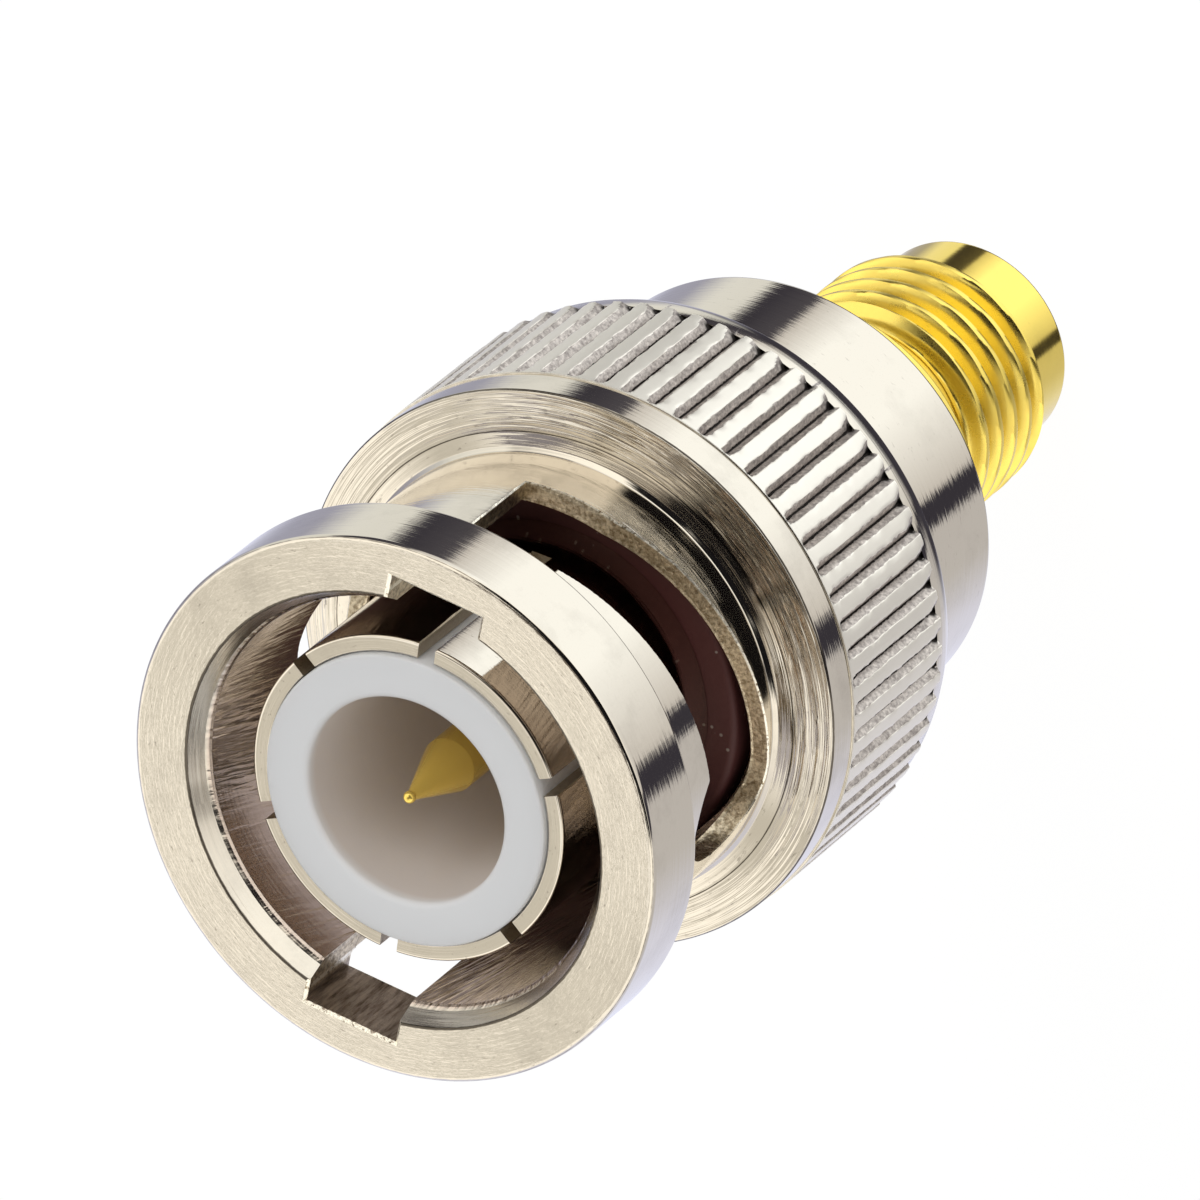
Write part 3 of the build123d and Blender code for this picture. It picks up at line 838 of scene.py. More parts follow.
def layered_cutter(name, stations, layers):
    """A closed cutter whose outline grows with the radius, so that it leaves bevelled edges.

    stations are (upper, lower) pairs of outline points. A point is a function of the radius and the
    growth that gives an angle and a height. layers are (radius, growth) pairs, inside first."""
    verts = []
    faces = []
    ring = 2 * len(layers)
    for upper, lower in stations:
        for side, order in ((upper, layers), (lower, layers[::-1])):
            for radius, growth in order:
                angle, height = side(radius, growth)
                verts.append((radius * math.cos(angle), radius * math.sin(angle), height))
    for i in range(len(stations) - 1):
        for j in range(ring):
            k = (j + 1) % ring
            faces.append((i * ring + j, i * ring + k, (i + 1) * ring + k, (i + 1) * ring + j))
    faces.append(tuple(range(ring)))
    faces.append(tuple(len(verts) - ring + j for j in range(ring)))
    return cleaned(plain_object(name, verts, faces))


def at_angle(angle):
    """The angle of a wall that lies along a radius, as a function of the radius."""
    return lambda radius: angle


def beside(centre, offset):
    """The angle of a wall that runs beside the radius at centre, as a function of the radius."""
    return lambda radius: centre + math.asin(offset / radius)


def outline_side(place, height, normal, wear):
    """One outline point: place gives its angle at a radius, normal the way in which it grows."""

    def at(radius, growth):
        grown = growth * wear
        return place(radius) + normal[0] * grown / radius, height + normal[1] * grown

    return at


def slot_sides(nut):
    """The ramp with the round pocket at its end: (wall, angle, upper depth, lower depth) of each station."""
    neck = nut.neck_radius
    notch = nut.notch_angle
    detent = notch - DETENT_TURN
    sides = []
    ramp_steps = 150
    for k in range(ramp_steps + 1):
        angle = notch - RAMP_TURN * k / ramp_steps
        depth = RAMP_START + (RAMP_END - RAMP_START) * (notch - angle) / RAMP_TURN
        upper = depth - RAMP_HALF
        lower = depth + RAMP_HALF
        offset = neck * math.sin(angle - detent)
        if offset < DETENT_RADIUS:
            bulge = math.sqrt(DETENT_RADIUS**2 - offset**2)
            upper = min(upper, DETENT_DEPTH - bulge)
            lower = max(lower, DETENT_DEPTH + bulge)
        sides.append((at_angle(angle), angle, upper, lower))
    start = math.acos(neck * math.sin(DETENT_TURN - RAMP_TURN) / DETENT_RADIUS)
    # The pocket stops just short of its far point, so that the last station keeps some height
    stop = math.pi - 0.03
    pocket_steps = 44
    for k in range(1, pocket_steps + 1):
        turn = min(start + (math.pi - start) * k / pocket_steps, stop)
        offset = DETENT_RADIUS * math.cos(turn)
        bulge = DETENT_RADIUS * math.sin(turn)
        angle = detent + math.asin(offset / neck)
        sides.append((beside(detent, offset), angle, DETENT_DEPTH - bulge, DETENT_DEPTH + bulge))
    return sides


def slot_cutter(nut, top):
    """The cutter of one bayonet slot."""
    rng = random.Random(11)
    neck = nut.neck_radius
    sides = slot_sides(nut)
    last = len(sides) - 1

    def outward(index, column):
        """The way out of the slot at one of its walls: along the neck, and down or up."""
        before = sides[max(index - 1, 0)]
        after = sides[min(index + 1, last)]
        along = neck * (after[1] - before[1])
        down = after[column] - before[column]
        size = math.hypot(along, down)
        return down / size, abs(along) / size

    stations = []
    for i, (place, _, upper, lower) in enumerate(sides):
        upper_wear = rng.uniform(0.85, 1.2)
        lower_wear = rng.uniform(0.85, 1.2)
        up = outward(i, 2)
        low = outward(i, 3)
        if i == last:
            up = (-1.0, 0.0)
            low = (1.0, 0.0)
        above = outline_side(place, top - upper, up, upper_wear)
        below = outline_side(place, top - lower, (-low[0], -low[1]), lower_wear)
        stations.append((above, below))
    layers = [
        (nut.bore_radius - SPARE, BEVEL + SPARE),
        (nut.bore_radius + BEVEL, 0.0),
        (neck - BEVEL, 0.0),
        (neck + BEVEL, 2 * BEVEL),
        (neck + 0.7 * MM, 2 * BEVEL),
    ]
    return layered_cutter("slot cutter", stations, layers)


def notch_cutter(nut, top):
    """The square entry notch, with a chamfered mouth."""
    inner = nut.bore_radius - 0.6 * MM
    above = 1.0 * MM
    chamfer = 0.07 * MM
    levels = ((top - NOTCH_DEPTH, 0.0), (top - chamfer, 0.0), (top + above, above + chamfer))
    corners = []
    for z, grown in levels:
        corners += [
            (inner, -NOTCH_HALF - grown, z),
            (NOTCH_FLOOR + grown, -NOTCH_HALF - grown, z),
            (NOTCH_FLOOR + grown, NOTCH_HALF + grown, z),
            (inner, NOTCH_HALF + grown, z),
        ]
    faces = [(3, 2, 1, 0), (8, 9, 10, 11)]
    for k in (0, 4):
        for i in range(4):
            m = (i + 1) % 4
            faces.append((k + i, k + m, k + 4 + m, k + 4 + i))
    notch = plain_object("notch cutter", corners, faces)
    notch.data.transform(Matrix.Rotation(nut.notch_angle, 4, "Z"))
    return notch


def edge_cutter(nut, top):
    """A shallow cutter that bevels the notch's edges on the neck."""
    rng = random.Random(5)
    first = top - nut.front_length - 0.2 * MM
    last = top - NOTCH_DEPTH
    stations = []
    steps = 22
    for k in range(steps + 1):
        height = first + (last - first) * k / steps
        down = -1.0 if k == steps else 0.0
        pair = []
        for side in (1, -1):
            wall = beside(nut.notch_angle, side * NOTCH_HALF)
            pair.append(outline_side(wall, height, (side, down), rng.uniform(0.6, 1.5)))
        stations.append(pair)
    neck = nut.neck_radius
    layers = [
        (neck - 0.15 * MM, -0.1 * MM),
        (neck - BEVEL, 0.0),
        (neck + BEVEL, 2 * BEVEL),
        (neck + 0.2 * MM, 2 * BEVEL),
    ]
    return layered_cutter("edge cutter", stations, layers)


def nut_outline(nut, top):
    """The nut's profile with its fillets, from the mouth round the outside and back through the bore."""
    flange = top - nut.flange_depth
    edge, knurl_top, knurl_bottom = knurl_span(nut, top)
    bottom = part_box("coupling_nut")[0].z
    web_bottom = 16.05 * MM
    web_top = 17.05 * MM
    web_bore = 4.0 * MM
    rear_bore = 5.85 * MM
    fine = 0.03 * MM
    cove = 0.1 * MM
    cove_drop = cove * FLANGE_SLOPE / (nut.rim_radius - nut.neck_radius)
    taper = 0.4 * MM
    taper_angle = math.radians(22)
    return rounded(
        [
            (nut.bore_radius + MOUTH_FLARE, top, fine),
            (nut.front_radius, top, 0.13 * MM),
            (nut.front_radius, top - nut.front_length, 0.07 * MM),
            (nut.neck_radius, top - nut.front_length, 0.12 * MM),
            (nut.neck_radius, flange + cove, 0.06 * MM),
            (nut.neck_radius + cove, flange - cove_drop, fine),
            (nut.rim_radius, edge, 0.05 * MM),
            (nut.rim_radius, knurl_top, 0),
            (nut.crest_radius, knurl_top, 0),
            (nut.crest_radius, knurl_bottom, 0),
            (nut.rear_radius, knurl_bottom, 0),
            (nut.rear_radius, bottom + taper, 0),
            (nut.rear_radius - taper * math.tan(taper_angle), bottom, 0.04 * MM),
            (rear_bore, bottom, fine),
            (rear_bore, web_bottom, 0),
            (web_bore, web_bottom, 0),
            (web_bore, web_top, 0),
            (nut.bore_radius, web_top, 0),
            (nut.bore_radius, top - MOUTH_DEPTH, fine),
        ]
    )


def with_band(outline, nut, top):
    """Divides the knurl's stretch of the outline into fine rows: the points, and 1 for each in the band."""
    _, knurl_top, knurl_bottom = knurl_span(nut, top)
    first_row = 0.012 * MM
    front_row = 0.05 * MM
    front_rows = 8
    rows = 34
    heights = [knurl_top - first_row]
    heights += [knurl_top - front_row * (k + 1) for k in range(front_rows)]
    first = heights[-1]
    heights += [first + (knurl_bottom - first) * (k + 1) / rows for k in range(rows)]
    points = []
    band = []
    for p in outline:
        is_crest = abs(p.x - nut.crest_radius) < MERGE
        if is_crest and abs(p.y - knurl_top) < MERGE:
            for z in heights:
                points.append(Vector((nut.crest_radius, z)))
                band.append(1.0)
        elif not is_crest:
            points.append(p)
            band.append(0.0)
    return points, band


def flute_columns(count):
    """Angles of the nut's columns: close together at the roots and shoulders of the flutes."""
    side = (0.015, 0.09, FLUTE_SHARE * 0.82, FLUTE_SHARE, FLUTE_SHARE * 1.2)
    places = (*(-u for u in reversed(side)), *side, FLUTE_SHARE * 1.6, 0.5)
    return [(k + u) * TURN / count for k in range(count) for u in places]


def make_nut(context):
    """The whole nut as one closed mesh."""
    nut = context.scene.adapter_nut
    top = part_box("coupling_nut")[1].z
    _, knurl_top, knurl_bottom = knurl_span(nut, top)
    outline, band = with_band(nut_outline(nut, top), nut, top)
    angles = flute_columns(nut.flute_count)
    obj = plain_object("CouplingNut", *turned(outline, angles))
    marks = obj.data.attributes.new("band", "FLOAT", "POINT")
    marks.data.foreach_set("value", [b for b in band for _ in angles])
    cutters = {
        "Notch Cutter": notch_cutter(nut, top),
        "Edge Cutter": edge_cutter(nut, top),
        "Slot Cutter": slot_cutter(nut, top),
    }
    sizes = {
        "Flutes": nut.flute_count,
        "Crest Radius": nut.crest_radius,
        "Flute Depth": nut.flute_depth,
        "Flute Share": FLUTE_SHARE,
        "Knurl Top": knurl_top,
        "Knurl Bottom": knurl_bottom,
        "Run In": 0.22 * MM,
        "End Land": 0.04 * MM,
        "Front Round": 0.2 * MM,
        "Rear Slant": 0.4 * MM,
        "Edge Wear": 0.95,
        "Wear Grain": 0.14 * MM,
        "Seed": 3.0,
        "Slots": nut.slot_count,
        "Material": finishes()["nickel_nut"],
    }
    nodes_modifier(obj, nut_tree(), sizes | cutters)
    applied(obj)
    for cutter in cutters.values():
        bpy.data.objects.remove(cutter)
    cleaned(obj)
    dressed(obj, "nut", "nickel_nut", "coupling_nut")


# Fixed parts, plug end

# Degrees from X of the cuts between the spring fingers
FINGER_SLOTS = (5, 69, 121, 185, 249, 301)


def finger_cutter(body, top, degrees, rng):
    """One saw cut between two spring fingers, with worn edges and a wide mouth."""
    outer = body.sleeve_radius
    half = body.slot_width / 2
    bevel = 0.03 * MM
    above = 0.5 * MM
    wide_mouth = 2.2
    centre = math.radians(degrees)
    stations = []
    steps = 16
    for k in range(steps + 1):
        height = top + above - (body.slot_depth + above) * k / steps
        down = -1.0 if k == steps else 0.0
        wear = wide_mouth if k < 2 else rng.uniform(0.6, 1.4)
        pair = [outline_side(beside(centre, side * half), height, (side, down), wear) for side in (1, -1)]
        stations.append(pair)
    layers = [
        (outer - body.sleeve_wall - SPARE, 0.0),
        (outer - bevel, 0.0),
        (outer + bevel, 2 * bevel),
        (outer + SPARE, 2 * bevel),
    ]
    return layered_cutter(f"finger cutter {degrees}", stations, layers)


def make_plug_body(context):
    """Spring fingers, shoulder, stem and tail."""
    body = context.scene.adapter_body
    low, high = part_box("plug_body")
    outer = body.sleeve_radius
    inner = body.sleeve_radius - body.sleeve_wall
    fine = 0.03 * MM
    gasket_groove = 3.88 * MM
    shoulder = 4.8 * MM
    stem = 3.95 * MM
    stem_foot = 15.1 * MM
    ring_groove = 3.55 * MM
    groove_foot = 15.22 * MM
    groove_top = 15.78 * MM
    tail = 3.47 * MM
    tail_bore = 2.6 * MM
    seat_bore = 3.0 * MM
    corners = [
        (inner, high.z, fine),
        (outer, high.z, 0.07 * MM),
        (outer, SLEEVE_FOOT, fine),
        (gasket_groove, SLEEVE_FOOT, 0),
        (gasket_groove, SHOULDER_TOP, 0),
        (shoulder, SHOULDER_TOP, fine),
        (shoulder, SHOULDER_FOOT, fine),
        (stem, SHOULDER_FOOT, 0),
        (stem, groove_top, 0),
        (ring_groove, groove_top, 0),
        (ring_groove, groove_foot, 0),
        (stem, groove_foot, 0),
        (stem, stem_foot, 0),
        (tail, stem_foot, 0),
        (tail, low.z, 0),
        (tail_bore, low.z, 0),
        (tail_bore, SEAT_FLOOR, 0),
        (seat_bore, SEAT_FLOOR, 0),
        (seat_bore, SLEEVE_FOOT, 0),
        (inner, SLEEVE_FOOT, 0),
    ]
    obj = cleaned(plain_object("PlugBody", *turned(rounded(corners), evenly(288))))
    obj.data.materials.append(finishes()["nickel_body"])
    rng = random.Random(8)
    cutters = []
    for degrees in FINGER_SLOTS:
        cutter = finger_cutter(body, high.z, degrees, rng)
        cutter.data.materials.append(finishes()["milled"])
        cut = obj.modifiers.new(cutter.name, "BOOLEAN")
        cut.operation = "DIFFERENCE"
        cut.solver = "EXACT"
        cut.object = cutter
        cut.material_mode = "TRANSFER"
        cutters.append(cutter)
    applied(obj)
    for cutter in cutters:
        bpy.data.objects.remove(cutter)
    cleaned(obj)
    dressed(obj, "adapter", "nickel_body", "plug_body")


def make_dielectric(context):
    """The plug's dielectric with its deep recess."""
    body = context.scene.adapter_body
    low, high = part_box("plug_insulator")
    outer = body.sleeve_radius - body.sleeve_wall - 0.03 * MM
    shank = 2.97 * MM
    pin_hole = 0.53 * MM
    corners = [
        (body.recess_radius, high.z, 0.14 * MM),
        (outer, high.z, 0.06 * MM),
        (outer, SLEEVE_FOOT, 0),
        (shank, SLEEVE_FOOT, 0),
        (shank, low.z, 0),
        (pin_hole, low.z, 0),
        (pin_hole, RECESS_FLOOR, 0),
        (body.recess_radius, RECESS_FLOOR, 0.15 * MM),
    ]
    obj = cleaned(plain_object("PlugDielectric", *turned(rounded(corners), evenly(192))))
    dressed(obj, "adapter", "dielectric", "plug_insulator")


def make_pin(context):
    """The centre pin with its long cone and ball tip."""
    body = context.scene.adapter_body
    low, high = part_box("centre_pin")
    spigot = 0.4 * MM
    spigot_end = 14.5 * MM
    shank = 0.5 * MM
    collar = 1.1 * MM
    collar_foot = 16.5 * MM
    cone_length = 1.95 * MM
    neck = 0.12 * MM
    neck_rise = 0.09 * MM
    ball = 0.15 * MM
    corners = [
        (0, low.z, 0),
        (spigot, low.z, 0),
        (spigot, spigot_end, 0),
        (shank, spigot_end, 0),
        (shank, collar_foot, 0),
        (collar, collar_foot, 0),
        (collar, SEAT_FLOOR, 0),
        (shank, SEAT_FLOOR, 0),
        (shank, RECESS_FLOOR, 0),
        (body.pin_radius, RECESS_FLOOR, 0),
        (body.pin_radius, high.z - cone_length, 0.1 * MM),
        (neck, high.z - ball - neck_rise, 0),
    ]
    outline = rounded(corners)
    centre = high.z - ball
    steps = 8
    for k in range(steps + 1):
        climb = math.radians(-30 + 120 * k / steps)
        radius = ball * math.cos(climb) if k < steps else 0.0
        outline.append(Vector((radius, centre + ball * math.sin(climb))))
    obj = cleaned(plain_object("CentrePin", *turned(outline, evenly(96))))
    dressed(obj, "adapter", "gold_pin", "centre_pin")


def make_gasket():
    """The soft ring at the foot of the fingers."""
    low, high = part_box("gasket")
    outer = high.x
    inner = 3.91 * MM
    soft = 0.05 * MM
    corners = [
        (inner, low.z, 0),
        (outer, low.z, soft),
        (outer, high.z, 0.16 * MM),
        (inner, high.z, soft),
    ]
    obj = cleaned(plain_object("Gasket", *turned(rounded(corners), evenly(192))))
    dressed(obj, "adapter", "gasket", "gasket")


def make_collar(context):
    """The smooth collar behind the nut."""
    body = context.scene.adapter_body
    low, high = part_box("rear_shell")
    jack_hole = 4.0 * MM
    hole_top = 11.5 * MM
    tail_hole = 3.5 * MM
    corners = [
        (jack_hole, low.z, 0),
        (body.collar_radius, low.z, 0.1 * MM),
        (body.collar_radius, high.z, 0.03 * MM),
        (tail_hole, high.z, 0),
        (tail_hole, hole_top, 0),
        (jack_hole, hole_top, 0),
    ]
    obj = cleaned(plain_object("Collar", *turned(rounded(corners), evenly(288))))
    dressed(obj, "adapter", "nickel_collar", "rear_shell")


# Threaded jack


def thread_tree():
    """Geometry Nodes: presses a helical thread into a turned barrel."""
    names = ("Crest Radius", "Depth", "Pitch", "Phase", "Crest Share", "Root Share")
    inputs = dict.fromkeys(names, "Float") | {"Material": "Material"}
    tree, given, result = new_tree("Thread", inputs)
    angle, height = polar_angle(tree)
    climbed = node(tree, "ShaderNodeMath", (height, given["Pitch"]), operation="DIVIDE")
    round_axis = node(tree, "ShaderNodeMath", (angle, TURN), operation="DIVIDE")
    crest_at = node(tree, "ShaderNodeMath", (round_axis, given["Phase"]), operation="ADD")
    turns = node(tree, "ShaderNodeMath", (climbed, crest_at), operation="SUBTRACT")
    off_crest = node(tree, "ShaderNodeMath", (turns, 0.5), operation="PINGPONG")
    root_from = node(tree, "ShaderNodeMath", (0.5, given["Root Share"]), operation="SUBTRACT")
    flank = (off_crest, given["Crest Share"], root_from)
    sunk = node(tree, "ShaderNodeMapRange", flank, interpolation_type="SMOOTHSTEP")
    depth = node(tree, "ShaderNodeMath", (sunk, given["Depth"]), operation="MULTIPLY")
    cut = node(tree, "ShaderNodeMath", (given["Crest Radius"], depth), operation="SUBTRACT")
    _, old = from_axis(tree)
    radius = node(tree, "ShaderNodeMath", (old, cut), operation="MINIMUM")
    on_barrel, _ = marked_points(tree, "barrel")
    moved = radial_move(tree, given["Geometry"], radius, on_barrel)
    close_tree(tree, given, moved, result)
    return tree


def make_jack(context):
    """The jack's gold barrel with its thread."""
    jack = context.scene.adapter_jack
    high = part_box("jack_body")[1]
    chamfer = 0.35 * MM
    thread_end = 5.35 * MM
    bore = 2.3 * MM
    bore_end = 1.95 * MM
    core_hole = 2.08 * MM
    flange = 4.4 * MM
    flange_foot = 7.6 * MM
    flange_top = 9.25 * MM
    spigot = 3.97 * MM
    lead = [
        (bore, 0, 0.04 * MM),
        (jack.lead_radius, 0, 0.08 * MM),
        (jack.lead_radius, JACK_THREAD_START, 0),
    ]
    thread = [
        (jack.thread_radius - chamfer, JACK_THREAD_START),
        (jack.thread_radius, JACK_THREAD_START + chamfer),
        (jack.thread_radius, thread_end - chamfer),
        (jack.thread_radius - chamfer, thread_end),
    ]
    rest = [
        (jack.relief_radius, thread_end, 0),
        (jack.relief_radius, flange_foot, 0.1 * MM),
        (flange, flange_foot, 0.06 * MM),
        (flange, flange_top, 0),
        (spigot, flange_top, 0),
        (spigot, high.z, 0),
        (core_hole, high.z, 0),
        (core_hole, bore_end, 0),
        (bore, bore_end, 0),
    ]
    row = 0.045 * MM
    barrel = []
    for (r0, z0), (r1, z1) in zip(thread, thread[1:]):
        count = max(1, round(math.hypot(r1 - r0, z1 - z0) / row))
        for k in range(count):
            barrel.append(Vector((r0 + (r1 - r0) * k / count, z0 + (z1 - z0) * k / count)))
    barrel.append(Vector(thread[-1]))
    parts = ((rounded(lead), 0.0), (barrel, 1.0), (rounded(rest), 0.0))
    outline = [point for points, _ in parts for point in points]
    angles = evenly(192)
    obj = plain_object("JackBody", *turned(outline, angles))
    marks = obj.data.attributes.new("barrel", "FLOAT", "POINT")
    marks.data.foreach_set("value", [mark for points, mark in parts for _ in points for _ in angles])
    sizes = {
        "Crest Radius": jack.thread_radius,
        "Depth": jack.thread_depth,
        "Pitch": jack.pitch,
        "Phase": jack.phase,
        "Crest Share": 0.08,
        "Root Share": 0.08,
        "Material": finishes()["gold_jack"],
    }
    nodes_modifier(obj, thread_tree(), sizes)
    cleaned(applied(obj))
    dressed(obj, "adapter", "gold_jack", "jack_body")


# Hidden parts


def dress_hidden():
    """Gives each solid that stays as packed the finish of its slot."""
    slots = {row["node"]: row["material_slot"] for row in frame["record"]["subparts"]}
    for name in ("socket_contact", "jack_insulator", "front_washer", "rear_washer", "snap_ring"):
        obj = frame["nodes"][name]
        obj.data.materials.clear()
        obj.data.materials.append(finishes()[slots[name]])


def make_spring():
    """The spring washer, as a sheet ring bent to one fixed arch. The real one flattens as the nut comes
    forward.
    """
    low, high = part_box("spring_washer")
    outer = high.x
    inner = 4.05 * MM
    sheet = 0.2 * MM
    arch = (high.z - low.z) - sheet
    bend = (outer**2 + arch**2) / (2 * arch)
    columns = 96
    rings = 4
    verts = []
    for layer in (0, 1):
        for i in range(rings + 1):
            r = inner + (outer - inner) * i / rings
            for a in evenly(columns):
                x = r * math.cos(a)
                fall = bend - math.sqrt(bend**2 - x**2)
                verts.append((x, r * math.sin(a), high.z - fall - sheet * layer))
    faces = []
    below = (rings + 1) * columns
    for j in range(columns):
        m = (j + 1) % columns
        for i in range(rings):
            near = i * columns
            far = near + columns
            faces.append((near + j, near + m, far + m, far + j))
            faces.append((below + far + j, below + far + m, below + near + m, below + near + j))
        for i in (0, rings):
            near = i * columns
            faces.append((near + j, near + m, below + near + m, below + near + j))
    obj = cleaned(plain_object("SpringWasher", verts, faces))
    dressed(obj, "adapter", "spring_metal", "spring_washer")
    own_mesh(obj)


# Stage

# What the metal mirrors below the horizon: walls, two dark cards and a wide softbox between them.
# Each stop is a compass angle in degrees and its tone, which blends into the next.
DUSK = "#9394A4"
PALE_WALL = "#C8CADA"
GREY_WALL = "#B4B2B2"
CARD = "#34323A"
CARD_EDGE = "#4A484E"
SOFT_EDGE = "#C0BDBA"
SOFTBOX = "#F7FAFA"
WARM_WALL = "#D2D3CF"
STUDIO = (
    (-180, DUSK),
    (-147, PALE_WALL),
    (-90, PALE_WALL),
    (-58, GREY_WALL),
    (-29.5, GREY_WALL),
    (-28, CARD),
    (-15.5, CARD),
    (-13.5, SOFT_EDGE),
    (30, SOFTBOX),
    (75, SOFTBOX),
    (96, SOFT_EDGE),
    (98, CARD_EDGE),
    (118, CARD),
    (121.5, CARD_EDGE),
    (125, WARM_WALL),
    (145, WARM_WALL),
    (163, DUSK),
)
# How bright that studio is in a mirror, and the even level that lights matt surfaces
STUDIO_LEVEL = 1.5
EVEN_LEVEL = 0.42
# What the metal mirrors above it: sines of the height at which one tone gives way to the next
BRIGHT = "#FFFBF2"
CEILING = ((0.69, 0.77, "#BFBBB1"), (0.80, 0.85, "#F4F1EA"), (0.905, 0.94, "#6E665E"))
HORIZON = (0.0, 0.35)
UNDER = (-0.90, -0.95, "#37353D")
# The watcher's head and raised arms: a direction and the cosines where its soft edge ends and starts
WATCHER = "#141315"
WATCHED = (
    ((0.694, 0.266, 0.669), 0.89, 0.93),
    ((0.305, 0.155, 0.940), 0.93, 0.96),
    ((0.411, 0.708, 0.574), 0.952, 0.972),
    ((0.810, -0.217, 0.545), 0.945, 0.97),
)
WHITE = (1, 1, 1, 1)
# The floor's glow to the camera, which takes it just to white, and how much of it the glow replaces
FLOOR_GLOW = 1.06
FLOOR_SHARE = 0.9
# The camera stands where the photograph was taken from: its place in millimetres and its own three axes
CAMERA_PLACE = (245.246, 158.682, 378.341)
CAMERA_RIGHT = (0.84875, -0.20243, -0.48851)
CAMERA_UP = (-0.00874, 0.91833, -0.39573)
CAMERA_BACK = (0.52872, 0.34015, 0.77766)


def make_world():
    """White to the camera, an even level to matt surfaces, and to metal a studio with two dark cards
    below the horizon, a dim ceiling and the dark shape of whoever takes the picture."""
    world = bpy.data.worlds.new("Studio")
    bpy.context.scene.world = world
    world.use_nodes = True
    tree = world.node_tree
    tree.nodes.clear()
    way = node(tree, "ShaderNodeTexCoord").outputs["Generated"]
    parts = node(tree, "ShaderNodeSeparateXYZ", (way,)).outputs
    rise = parts["Z"]
    angle = node(tree, "ShaderNodeMath", (parts["Y"], parts["X"]), operation="ARCTAN2")
    turns = node(tree, "ShaderNodeMath", (angle, TURN), operation="DIVIDE")
    walls = node(tree, "ShaderNodeValToRGB", (node(tree, "ShaderNodeMath", (turns, 0.5), operation="ADD"),))
    stops = walls.color_ramp.elements
    for stop, place in ((stops[0], 0.0), (stops[1], 1.0)):
        stop.position = place
        stop.color = linear(STUDIO[0][1])
    for degrees, code in STUDIO[1:]:
        stops.new(degrees / 360 + 0.5).color = linear(code)
    upper = linear(BRIGHT)
    for start, end, code in CEILING:
        share = node(tree, "ShaderNodeMapRange", (rise, start, end))
        tones = {0: share, 6: upper, 7: linear(code)}
        upper = node(tree, "ShaderNodeMix", tones, data_type="RGBA").outputs[2]
    low = node(tree, "ShaderNodeMapRange", (rise, *UNDER[:2]))
    lower = node(tree, "ShaderNodeMix", {0: low, 6: walls, 7: linear(UNDER[2])}, data_type="RGBA").outputs[2]
    high = node(tree, "ShaderNodeMapRange", (rise, *HORIZON))
    seen = node(tree, "ShaderNodeMix", {0: high, 6: lower, 7: upper}, data_type="RGBA").outputs[2]
    for towards, soft, full in WATCHED:
        near = node(tree, "ShaderNodeVectorMath", (way, towards), operation="DOT_PRODUCT").outputs["Value"]
        share = node(tree, "ShaderNodeMapRange", (near, soft, full))
        tones = {0: share, 6: seen, 7: linear(WATCHER)}
        seen = node(tree, "ShaderNodeMix", tones, data_type="RGBA").outputs[2]
    mirrored = node(tree, "ShaderNodeBackground", {"Color": seen, "Strength": STUDIO_LEVEL})
    even = node(tree, "ShaderNodeBackground", {"Color": WHITE, "Strength": EVEN_LEVEL})
    white = node(tree, "ShaderNodeBackground", {"Color": WHITE, "Strength": 1.0})
    light = node(tree, "ShaderNodeLightPath").outputs
    first = node(tree, "ShaderNodeMixShader", (light["Is Glossy Ray"], even, mirrored))
    last = node(tree, "ShaderNodeMixShader", (light["Is Camera Ray"], first, white))
    node(tree, "ShaderNodeOutputWorld", {"Surface": last})


def make_floor():
    """A pale floor under the jack, white to the camera except for the adapter's soft shadow."""
    reach = 2.0
    corners = [(-reach, -reach, 0), (reach, -reach, 0), (reach, reach, 0), (-reach, reach, 0)]
    obj = plain_object("Floor", corners, [(0, 1, 2, 3)])
    material = bpy.data.materials.new("pale studio floor")
    material.use_nodes = True
    tree = material.node_tree
    tree.nodes.clear()
    matt = node(tree, "ShaderNodeBsdfDiffuse", {"Color": linear("#F4F4F4")})
    white = node(tree, "ShaderNodeEmission", {"Color": WHITE, "Strength": FLOOR_GLOW})
    seen = node(tree, "ShaderNodeLightPath").outputs["Is Camera Ray"]
    share = node(tree, "ShaderNodeMath", (seen, FLOOR_SHARE), operation="MULTIPLY")
    mixed = node(tree, "ShaderNodeMixShader", (share, matt, white))
    node(tree, "ShaderNodeOutputMaterial", {"Surface": mixed})
    obj.data.materials.append(material)
    obj.visible_glossy = False


def make_lamp(name, direction, distance, size, power):
    """A soft square lamp that looks at the middle of the adapter."""
    data = bpy.data.lights.new(name, "AREA")
    data.shape = "SQUARE"
    data.size = size
    data.energy = power
    lamp = bpy.data.objects.new(name, data)
    bpy.context.scene.collection.objects.link(lamp)
    middle = Vector((0, 0, 14 * MM))
    way = Vector(direction).normalized()
    lamp.location = middle + way * distance
    lamp.rotation_euler = way.to_track_quat("Z", "Y").to_euler()
    lamp.visible_glossy = False


def make_camera():
    """A long lens at the photograph's angle: the plug faces the lower left."""
    data = bpy.data.cameras.new("Camera")
    data.lens = 600
    data.sensor_width = 36
    data.clip_start = 0.02
    data.clip_end = 20
    camera = bpy.data.objects.new("Camera", data)
    bpy.context.scene.collection.objects.link(camera)
    turn = Matrix((CAMERA_RIGHT, CAMERA_UP, CAMERA_BACK)).transposed().to_4x4()
    camera.matrix_world = Matrix.Translation(Vector(CAMERA_PLACE) * MM) @ turn
    bpy.context.scene.camera = camera


def make_stage(context):
    """Floor, background, lamps and camera."""
    make_world()
    make_floor()
    make_lamp("Key", direction=(0.0, 0.83, 0.67), distance=0.5, size=0.3, power=0.8)
    make_lamp("Fill", direction=(0.8, -0.5, 0.6), distance=0.6, size=0.45, power=0.5)
    make_camera()
    context.scene.view_settings.view_transform = "Standard"


# Operators


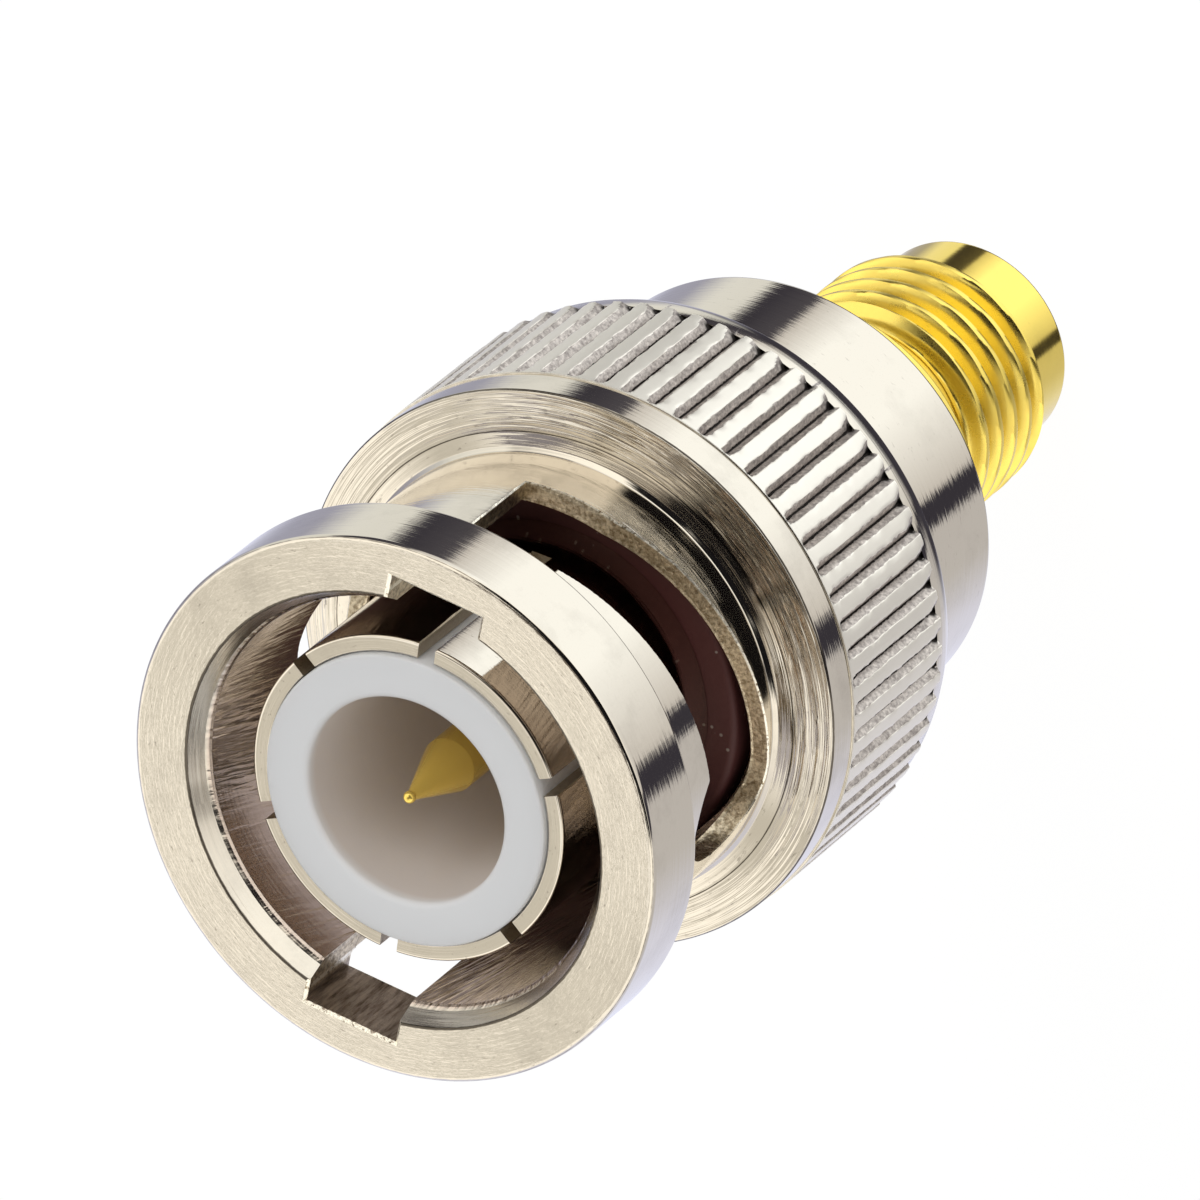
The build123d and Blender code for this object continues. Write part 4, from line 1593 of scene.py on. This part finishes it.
class ADAPTER_OT_stage(bpy.types.Operator):
    """Sets up the floor, background, lamps and camera"""

    bl_idname = "adapter.stage"
    bl_label = "Stage"

    def execute(self, context):
        make_stage(context)
        return {"FINISHED"}


class ADAPTER_OT_nut(bpy.types.Operator):
    """Makes the coupling nut with its knurl and bayonet slots"""

    bl_idname = "adapter.nut"
    bl_label = "Coupling nut"

    def execute(self, context):
        make_nut(context)
        return {"FINISHED"}


class ADAPTER_OT_plug(bpy.types.Operator):
    """Makes the spring fingers, dielectric, centre pin and gasket"""

    bl_idname = "adapter.plug"
    bl_label = "Plug parts"

    def execute(self, context):
        make_plug_body(context)
        make_dielectric(context)
        make_pin(context)
        make_gasket()
        return {"FINISHED"}


class ADAPTER_OT_collar(bpy.types.Operator):
    """Makes the smooth collar behind the nut"""

    bl_idname = "adapter.collar"
    bl_label = "Collar"

    def execute(self, context):
        make_collar(context)
        return {"FINISHED"}


class ADAPTER_OT_jack(bpy.types.Operator):
    """Makes the gold jack with its thread"""

    bl_idname = "adapter.jack"
    bl_label = "Threaded jack"

    def execute(self, context):
        make_jack(context)
        return {"FINISHED"}


class ADAPTER_OT_inside(bpy.types.Operator):
    """Makes the spring washer and finishes the hidden parts"""

    bl_idname = "adapter.inside"
    bl_label = "Washers and contacts"

    def execute(self, context):
        make_spring()
        dress_hidden()
        return {"FINISHED"}


STEPS = (
    ADAPTER_OT_stage,
    ADAPTER_OT_nut,
    ADAPTER_OT_plug,
    ADAPTER_OT_collar,
    ADAPTER_OT_jack,
    ADAPTER_OT_inside,
)

SETTINGS = {
    "adapter_nut": NutSettings,
    "adapter_body": BodySettings,
    "adapter_jack": JackSettings,
    "adapter_finish": FinishSettings,
}


class ADAPTER_PT_panel(bpy.types.Panel):
    """Lists the adapter's steps and settings"""

    bl_label = "Coax adapter"
    bl_idname = "ADAPTER_PT_panel"
    bl_space_type = "VIEW_3D"
    bl_region_type = "UI"
    bl_category = "Adapter"

    def draw(self, context):
        for step in STEPS:
            self.layout.operator(step.bl_idname)
        for group in SETTINGS:
            box = self.layout.box()
            for name in SETTINGS[group].__annotations__:
                box.prop(getattr(context.scene, group), name)


def register():
    """Adds the settings, the steps and the panel to Blender."""
    for cls in (*SETTINGS.values(), *STEPS, ADAPTER_PT_panel):
        bpy.utils.register_class(cls)
    for name, cls in SETTINGS.items():
        setattr(bpy.types.Scene, name, bpy.props.PointerProperty(type=cls))


def unregister():
    """Takes them out again."""
    for name in SETTINGS:
        delattr(bpy.types.Scene, name)
    for cls in (ADAPTER_PT_panel, *reversed(STEPS), *reversed(SETTINGS.values())):
        bpy.utils.unregister_class(cls)


def main():
    register()
    bpy.ops.adapter.stage()
    bpy.ops.adapter.nut()
    bpy.ops.adapter.plug()
    bpy.ops.adapter.collar()
    bpy.ops.adapter.jack()
    bpy.ops.adapter.inside()


if __name__ == "__main__":
    main()
